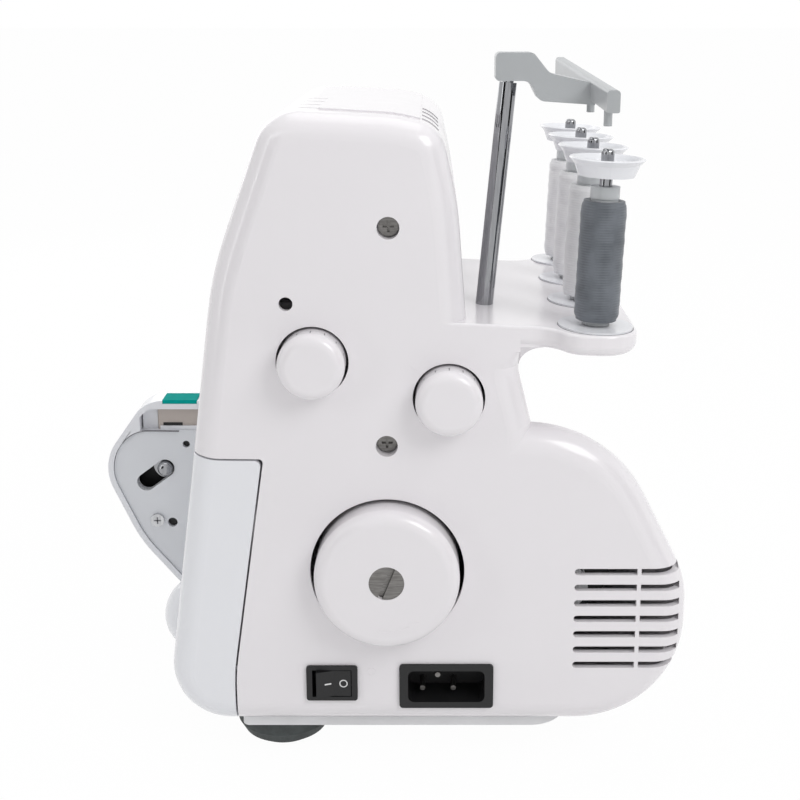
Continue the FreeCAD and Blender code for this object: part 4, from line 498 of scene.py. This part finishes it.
def wheel_arrow():
    """Faint raised arrow on the handwheel that shows the turning direction."""
    centre = outer_middle("handwheel")
    lift = Vector((MARK_HEIGHT, 0, 0))
    mesh = bmesh.new()
    ring_arc(mesh, centre, ACROSS, UP, ARROW_RADIUS, ARROW_TAIL, ARROW_NECK, ARROW_WIDTH, lift)
    neck = centre + ray_at(ARROW_NECK) * ARROW_RADIUS
    wing = ray_at(ARROW_NECK) * ARROW_HALF_HEAD
    tip = centre + ray_at(ARROW_TIP) * ARROW_RADIUS
    flat_plate(mesh, [neck - wing, neck + wing, tip], lift)
    piece("handwheel_arrow", mesh, "wheel", "white_casing")


def dial_ticks(node, body):
    """Graduation lines round the rim of a side dial, every fourth one longer."""
    low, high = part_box(node)
    radius = (high.z - low.z) / 2
    dial = middle_of(node)
    centre = Vector((SIDE_X + TICK_FROM_WALL, dial.y, dial.z))
    mesh = bmesh.new()
    for i in range(TICK_COUNT):
        ray = ray_at(90 + (i - TICK_COUNT // 2) * TICK_STEP_DEGREES)
        start = centre + ray * radius
        length = SHORT_TICK if i % 4 else LONG_TICK
        flat_bar(mesh, start, start + Vector((length, 0, 0)), TICK_WIDTH, ray * TICK_HEIGHT)
    piece(node + "_ticks", mesh, body, "dark_steel", PRINT_AND_SHADE_GREY)


def rocker_marks():
    """White dash and ring on the two slanted faces of the rocker, which meet in its middle."""
    bezel = middle_of("switch_bezel")
    pivot = Vector((SIDE_X - ROCKER_PIVOT_DEPTH, bezel.y, bezel.z))
    tilt = Matrix.Rotation(math.radians(ROCKER_TILT_DEGREES), 4, "Z")
    front = Vector((ROCKER_EDGE_HEIGHT, -ROCKER_HALF_WIDTH, 0))
    middle = Vector((ROCKER_MIDDLE_HEIGHT, 0, 0))
    back = Vector((ROCKER_EDGE_HEIGHT, ROCKER_HALF_WIDTH, 0))
    mesh = bmesh.new()
    slope = (middle - front).normalized()
    lift = Vector((slope.y, -slope.x, 0)) * INK_HEIGHT
    start, end = middle - slope * ROCKER_DASH_START, middle - slope * ROCKER_DASH_END
    flat_bar(mesh, start, end, ROCKER_DASH_WIDTH, lift)
    slope = (back - middle).normalized()
    lift = Vector((slope.y, -slope.x, 0)) * INK_HEIGHT
    centre = middle + slope * ROCKER_RING_PLACE
    ring_arc(mesh, centre, slope, UP, ROCKER_RING_RADIUS, 0, 360, RING_WIDTH, lift)
    bmesh.ops.transform(mesh, matrix=Matrix.Translation(pivot) @ tilt, verts=mesh.verts)
    piece("rocker_marks", mesh, "rocker", "door_white", MARK_INK)


def painted_rest_shadows():
    """Painted shadow: a dark hairline round each spool rest on the leaning tray, where the rest's rim shades it.
    """
    mesh = bmesh.new()
    along = Vector((1, 0, 0))
    for number in SPOOLS:
        spin = joint("spool_%d_spin" % number)
        axis = Vector(spin["axis"])
        centre = Vector(spin["pos_m"]) - axis * REST_DROP
        ring_arc(mesh, centre, along, axis.cross(along), REST_SHADOW_RADIUS, 0, 360, REST_SHADOW_WIDTH,
                 axis * INK_HEIGHT)
    # painted shadow rings under the rests' rims, in the grey ink
    piece("spool_rest_gaps", mesh, "base", "dark_steel", PRINT_AND_SHADE_GREY)


def slab(mesh, x0, x1, outline):
    """Plate between two X places over an outline of Y and Z, all in millimetres."""
    flat_plate(mesh, [Vector((x0, y, z)) * MM for y, z in outline], Vector((x1 - x0, 0, 0)) * MM)


def block(mesh, x0, x1, y0, y1, z0, z1):
    """Plain block between two corners, in millimetres."""
    slab(mesh, x0, x1, [(y0, z0), (y1, z0), (y1, z1), (y0, z1)])


def disc(mesh, x0, x1, y, z, radius):
    """Short round plug along X, in millimetres."""
    place = Matrix.Translation(Vector(((x0 + x1) / 2, y, z)) * MM) @ Matrix.Rotation(math.radians(90), 4, "Y")
    bmesh.ops.create_cone(mesh, cap_ends=True, segments=32, radius1=radius * MM, radius2=radius * MM,
                          depth=(x1 - x0) * MM, matrix=place)


def corner_arc(top):
    """Points, as Y and Z, of the round at the end plate's upper front corner."""
    opening = math.acos(POD_CORNER_SIDE.x)
    radius = POD_CORNER_RADIUS
    centre = Vector((POD_CORNER_Y + radius / math.tan(opening / 2), top - radius))
    steps = 12
    turns = [math.radians(90) + (math.pi - opening) * i / steps for i in range(steps + 1)]
    return [tuple(centre + radius * Vector((math.cos(turn), math.sin(turn)))) for turn in turns]


def pod_corner(face, top):
    """White round in the corner of the end plate, and the groove along it and the plate's top drawn as painted
    shade: a dark raised line.
    """
    arc = corner_arc(top)
    mesh = bmesh.new()
    slab(mesh, face, face + POD_RIM_HEIGHT, [(POD_CORNER_Y, top)] + arc)
    piece("pod_corner_web", mesh, "door", "door_white")
    # painted shade of the groove, as thin dark bars
    mesh = bmesh.new()
    inside = [Vector((face, y, z)) * MM for y, z in [(GROOVE_SHADE_END_Y, top - GROOVE_SHADE_WIDTH / 2)] + arc]
    for start, end in zip(inside, inside[1:]):
        flat_bar(mesh, start, end, GROOVE_SHADE_WIDTH * MM, Vector((GROOVE_SHADE_HEIGHT * MM, 0, 0)))
    piece("end_plate_painted_groove_shade", mesh, "door", "dark_steel", PRINT_AND_SHADE_GREY)


def looper_guard(floor, top):
    """Beige guard with its slot drawn as painted shade, a thin dark sheet, and its white ledge and post, on the
    wall behind the end plate.
    """
    face = floor - GUARD_SETBACK
    ledge_top = top + LEDGE_HEIGHT
    mesh = bmesh.new()
    block(mesh, floor - GUARD_REACH, face, GUARD_FRONT_Y, GUARD_BACK_Y, top, top + GUARD_HEIGHT)
    piece("looper_guard", mesh, "door", "light_grey_panel", GUARD_PLASTIC)
    mesh = bmesh.new()
    deep, shallow = GUARD_POST_DEPTHS
    block(mesh, floor - deep, floor - shallow, *GUARD_POST_Y, top, top + GUARD_POST_HEIGHT)
    block(mesh, face, floor + LEDGE_REACH, LEDGE_FRONT_Y, GUARD_BACK_Y, top, ledge_top)
    piece("looper_guard_ledge", mesh, "door", "door_white")
    # painted shade of the slot: a thin black sheet
    mesh = bmesh.new()
    block(mesh, face, face + GUARD_SLOT_SHADE_THICKNESS, *GUARD_SLOT_SHADE_Y, ledge_top, ledge_top + GUARD_SLOT_SHADE_HEIGHT)
    piece("looper_guard_painted_slot_shade", mesh, "door", "black_plastic")


def painted_shade_backing(floor):
    """Painted shade: dark discs on the floors of the end plate's holes, and a dark sheet deep behind its latch
    slot, for the shaded hollow seen through them.
    """
    mesh = bmesh.new()
    for y, z, radius in END_PLATE_HOLES:
        disc(mesh, floor, floor + HOLE_SHADE_THICKNESS, y, z, radius - HOLE_CLEARANCE)
    deep, shallow = LATCH_SHADE_SHEET_DEPTHS
    slab(mesh, floor - deep, floor - shallow, LATCH_SHADE_SHEET)
    # painted shade pieces, in black
    piece("end_plate_painted_shade_backing", mesh, "door", "black_plastic")


def painted_screw_cross_shade():
    """Painted shade of the cross recess in the head of the end plate's screw: a flat dark cross."""
    spot = outer_middle("door_plate_screw")
    lift = Vector((SCREW_SHADE_HEIGHT * MM, 0, 0))
    mesh = bmesh.new()
    for way in (ACROSS, UP):
        arm = way * SCREW_SHADE_REACH * MM
        flat_bar(mesh, spot - arm, spot + arm, SCREW_SHADE_WIDTH * MM, lift)
    # painted shade of the recess, in the grey ink
    piece("plate_screw_painted_cross_shade", mesh, "door", "dark_steel", PRINT_AND_SHADE_GREY)


def pod_end():
    """Dressing of the pod's right end."""
    low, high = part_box("door_end_plate")
    floor, face, top = low.x / MM, high.x / MM, high.z / MM
    pod_corner(face, top)
    looper_guard(floor, top)
    painted_shade_backing(floor)
    painted_screw_cross_shade()


# Stage

def surround():
    """White surround that lights the machine more softly than it looks."""
    world = bpy.data.worlds.new("studio")
    world.use_nodes = True
    tree = world.node_tree
    tree.nodes.clear()
    soft = add(tree, "ShaderNodeBackground", {"Color": (1, 1, 1, 1), "Strength": WORLD_STRENGTH})
    white = add(tree, "ShaderNodeBackground", {"Color": (1, 1, 1, 1), "Strength": 1.0})
    both = add(tree, "ShaderNodeMixShader", {0: seen_directly(tree), 1: soft.outputs[0], 2: white.outputs[0]})
    add(tree, "ShaderNodeOutputWorld", {"Surface": both.outputs[0]})
    bpy.context.scene.world = world


def paper_floor():
    """Matt white paper that keeps a little of the machine's shadow."""
    mesh = bmesh.new()
    bmesh.ops.create_grid(mesh, x_segments=1, y_segments=1, size=FLOOR_SIZE)
    material, tree, shader = new_material("matt_white_paper_floor")
    shader.inputs["Base Color"].default_value = linear("#F4F4F4")
    shader.inputs["Roughness"].default_value = 0.9
    share = add(tree, "ShaderNodeMath", {0: seen_directly(tree), 1: FLOOR_GLOW_SHARE}, operation="MULTIPLY")
    glow = add(tree, "ShaderNodeEmission", {"Color": (1, 1, 1, 1), "Strength": 1.0})
    mixed = add(tree, "ShaderNodeMixShader", {0: share.outputs[0], 1: shader.outputs[0], 2: glow.outputs[0]})
    out = next(n for n in tree.nodes if n.type == "OUTPUT_MATERIAL")
    tree.links.new(mixed.outputs[0], out.inputs["Surface"])
    stage_sheet("floor", mesh, material)


def stage_sheet(name, mesh, material):
    """A sheet of the studio, which is no part of the machine."""
    data = bpy.data.meshes.new(name)
    mesh.to_mesh(data)
    mesh.free()
    data.materials.append(material)
    sheet = bpy.data.objects.new(name, data)
    bpy.context.scene.collection.objects.link(sheet)
    return sheet


def photo_camera():
    """Camera at the place and tilt found from the photograph, shifted to its frame."""
    lens = bpy.data.cameras.new("photo_camera")
    lens.sensor_width = 36.0
    lens.lens = 56.25
    lens.shift_x = -0.0375
    lens.shift_y = -0.129
    lens.clip_start = 0.01
    camera = bpy.data.objects.new("photo_camera", lens)
    camera.location = CAMERA_SPOT
    camera.rotation_euler = (math.radians(CAMERA_TILT_DEGREES), 0, math.radians(90))
    bpy.context.scene.collection.objects.link(camera)
    bpy.context.scene.camera = camera


def studio():
    """Pale floor, white surround, soft lights, dark cards and the camera of the photograph."""
    bpy.context.scene.view_settings.view_transform = "Standard"
    surround()
    paper_floor()
    softbox("key", (0.75, 0.75, 0.95), 0.6, 5.9)
    softbox("fill", (0.9, -0.8, 0.45), 0.9, 4.8)
    softbox("top", (-0.1, 0.0, 1.3), 0.9, 3.0)
    softbox("back", (-0.9, -0.5, 0.6), 0.8, 2.2)
    flag("card_left", (0.75, -0.55, 0.25), 0.5, 0.8)
    flag("card_right", (0.45, 0.85, 0.25), 0.42, 0.8)
    photo_camera()


def seen_directly(tree):
    """1 for camera, mirror and see-through rays, 0 for the rays that light the machine."""
    ray = add(tree, "ShaderNodeLightPath").outputs
    mirror = add(tree, "ShaderNodeMath", {0: ray["Is Glossy Ray"], 1: ray["Is Transmission Ray"]},
                 operation="MAXIMUM")
    both = add(tree, "ShaderNodeMath", {0: ray["Is Camera Ray"], 1: mirror.outputs[0]}, operation="MAXIMUM")
    return both.outputs[0]


def flag(name, spot, width, height):
    """Upright black card beside the camera's view, only there for the chrome to mirror."""
    mesh = bmesh.new()
    bmesh.ops.create_grid(mesh, x_segments=1, y_segments=1, size=0.5)
    place = Vector(spot)
    target = Vector((CARD_TARGET.x, CARD_TARGET.y, place.z))
    aim = (target - place).to_track_quat("Z", "Y").to_matrix().to_4x4()
    scale = Matrix.Diagonal((width, height, 1, 1))
    bmesh.ops.transform(mesh, matrix=Matrix.Translation(place) @ aim @ scale, verts=mesh.verts)
    material, _, shader = new_material("black_card_" + name)
    shader.inputs["Base Color"].default_value = linear("#141414")
    shader.inputs["Roughness"].default_value = 0.9
    stage_sheet(name, mesh, material).visible_camera = False


def softbox(name, spot, size, power):
    """Square area light aimed at the middle of the machine."""
    data = bpy.data.lights.new(name, "AREA")
    data.size = size
    data.energy = power
    lamp = bpy.data.objects.new(name, data)
    lamp.location = spot
    aim = LIGHT_TARGET - Vector(spot)
    lamp.rotation_euler = aim.to_track_quat("-Z", "Y").to_euler()
    bpy.context.scene.collection.objects.link(lamp)


dress_nodes()
for spool in SPOOLS:
    wound_thread(spool)
side_marks()
wheel_arrow()
dial_ticks("stitch_length_dial", "length_knob")
dial_ticks("differential_dial", "feed_knob")
rocker_marks()
painted_rest_shadows()
pod_end()
studio()
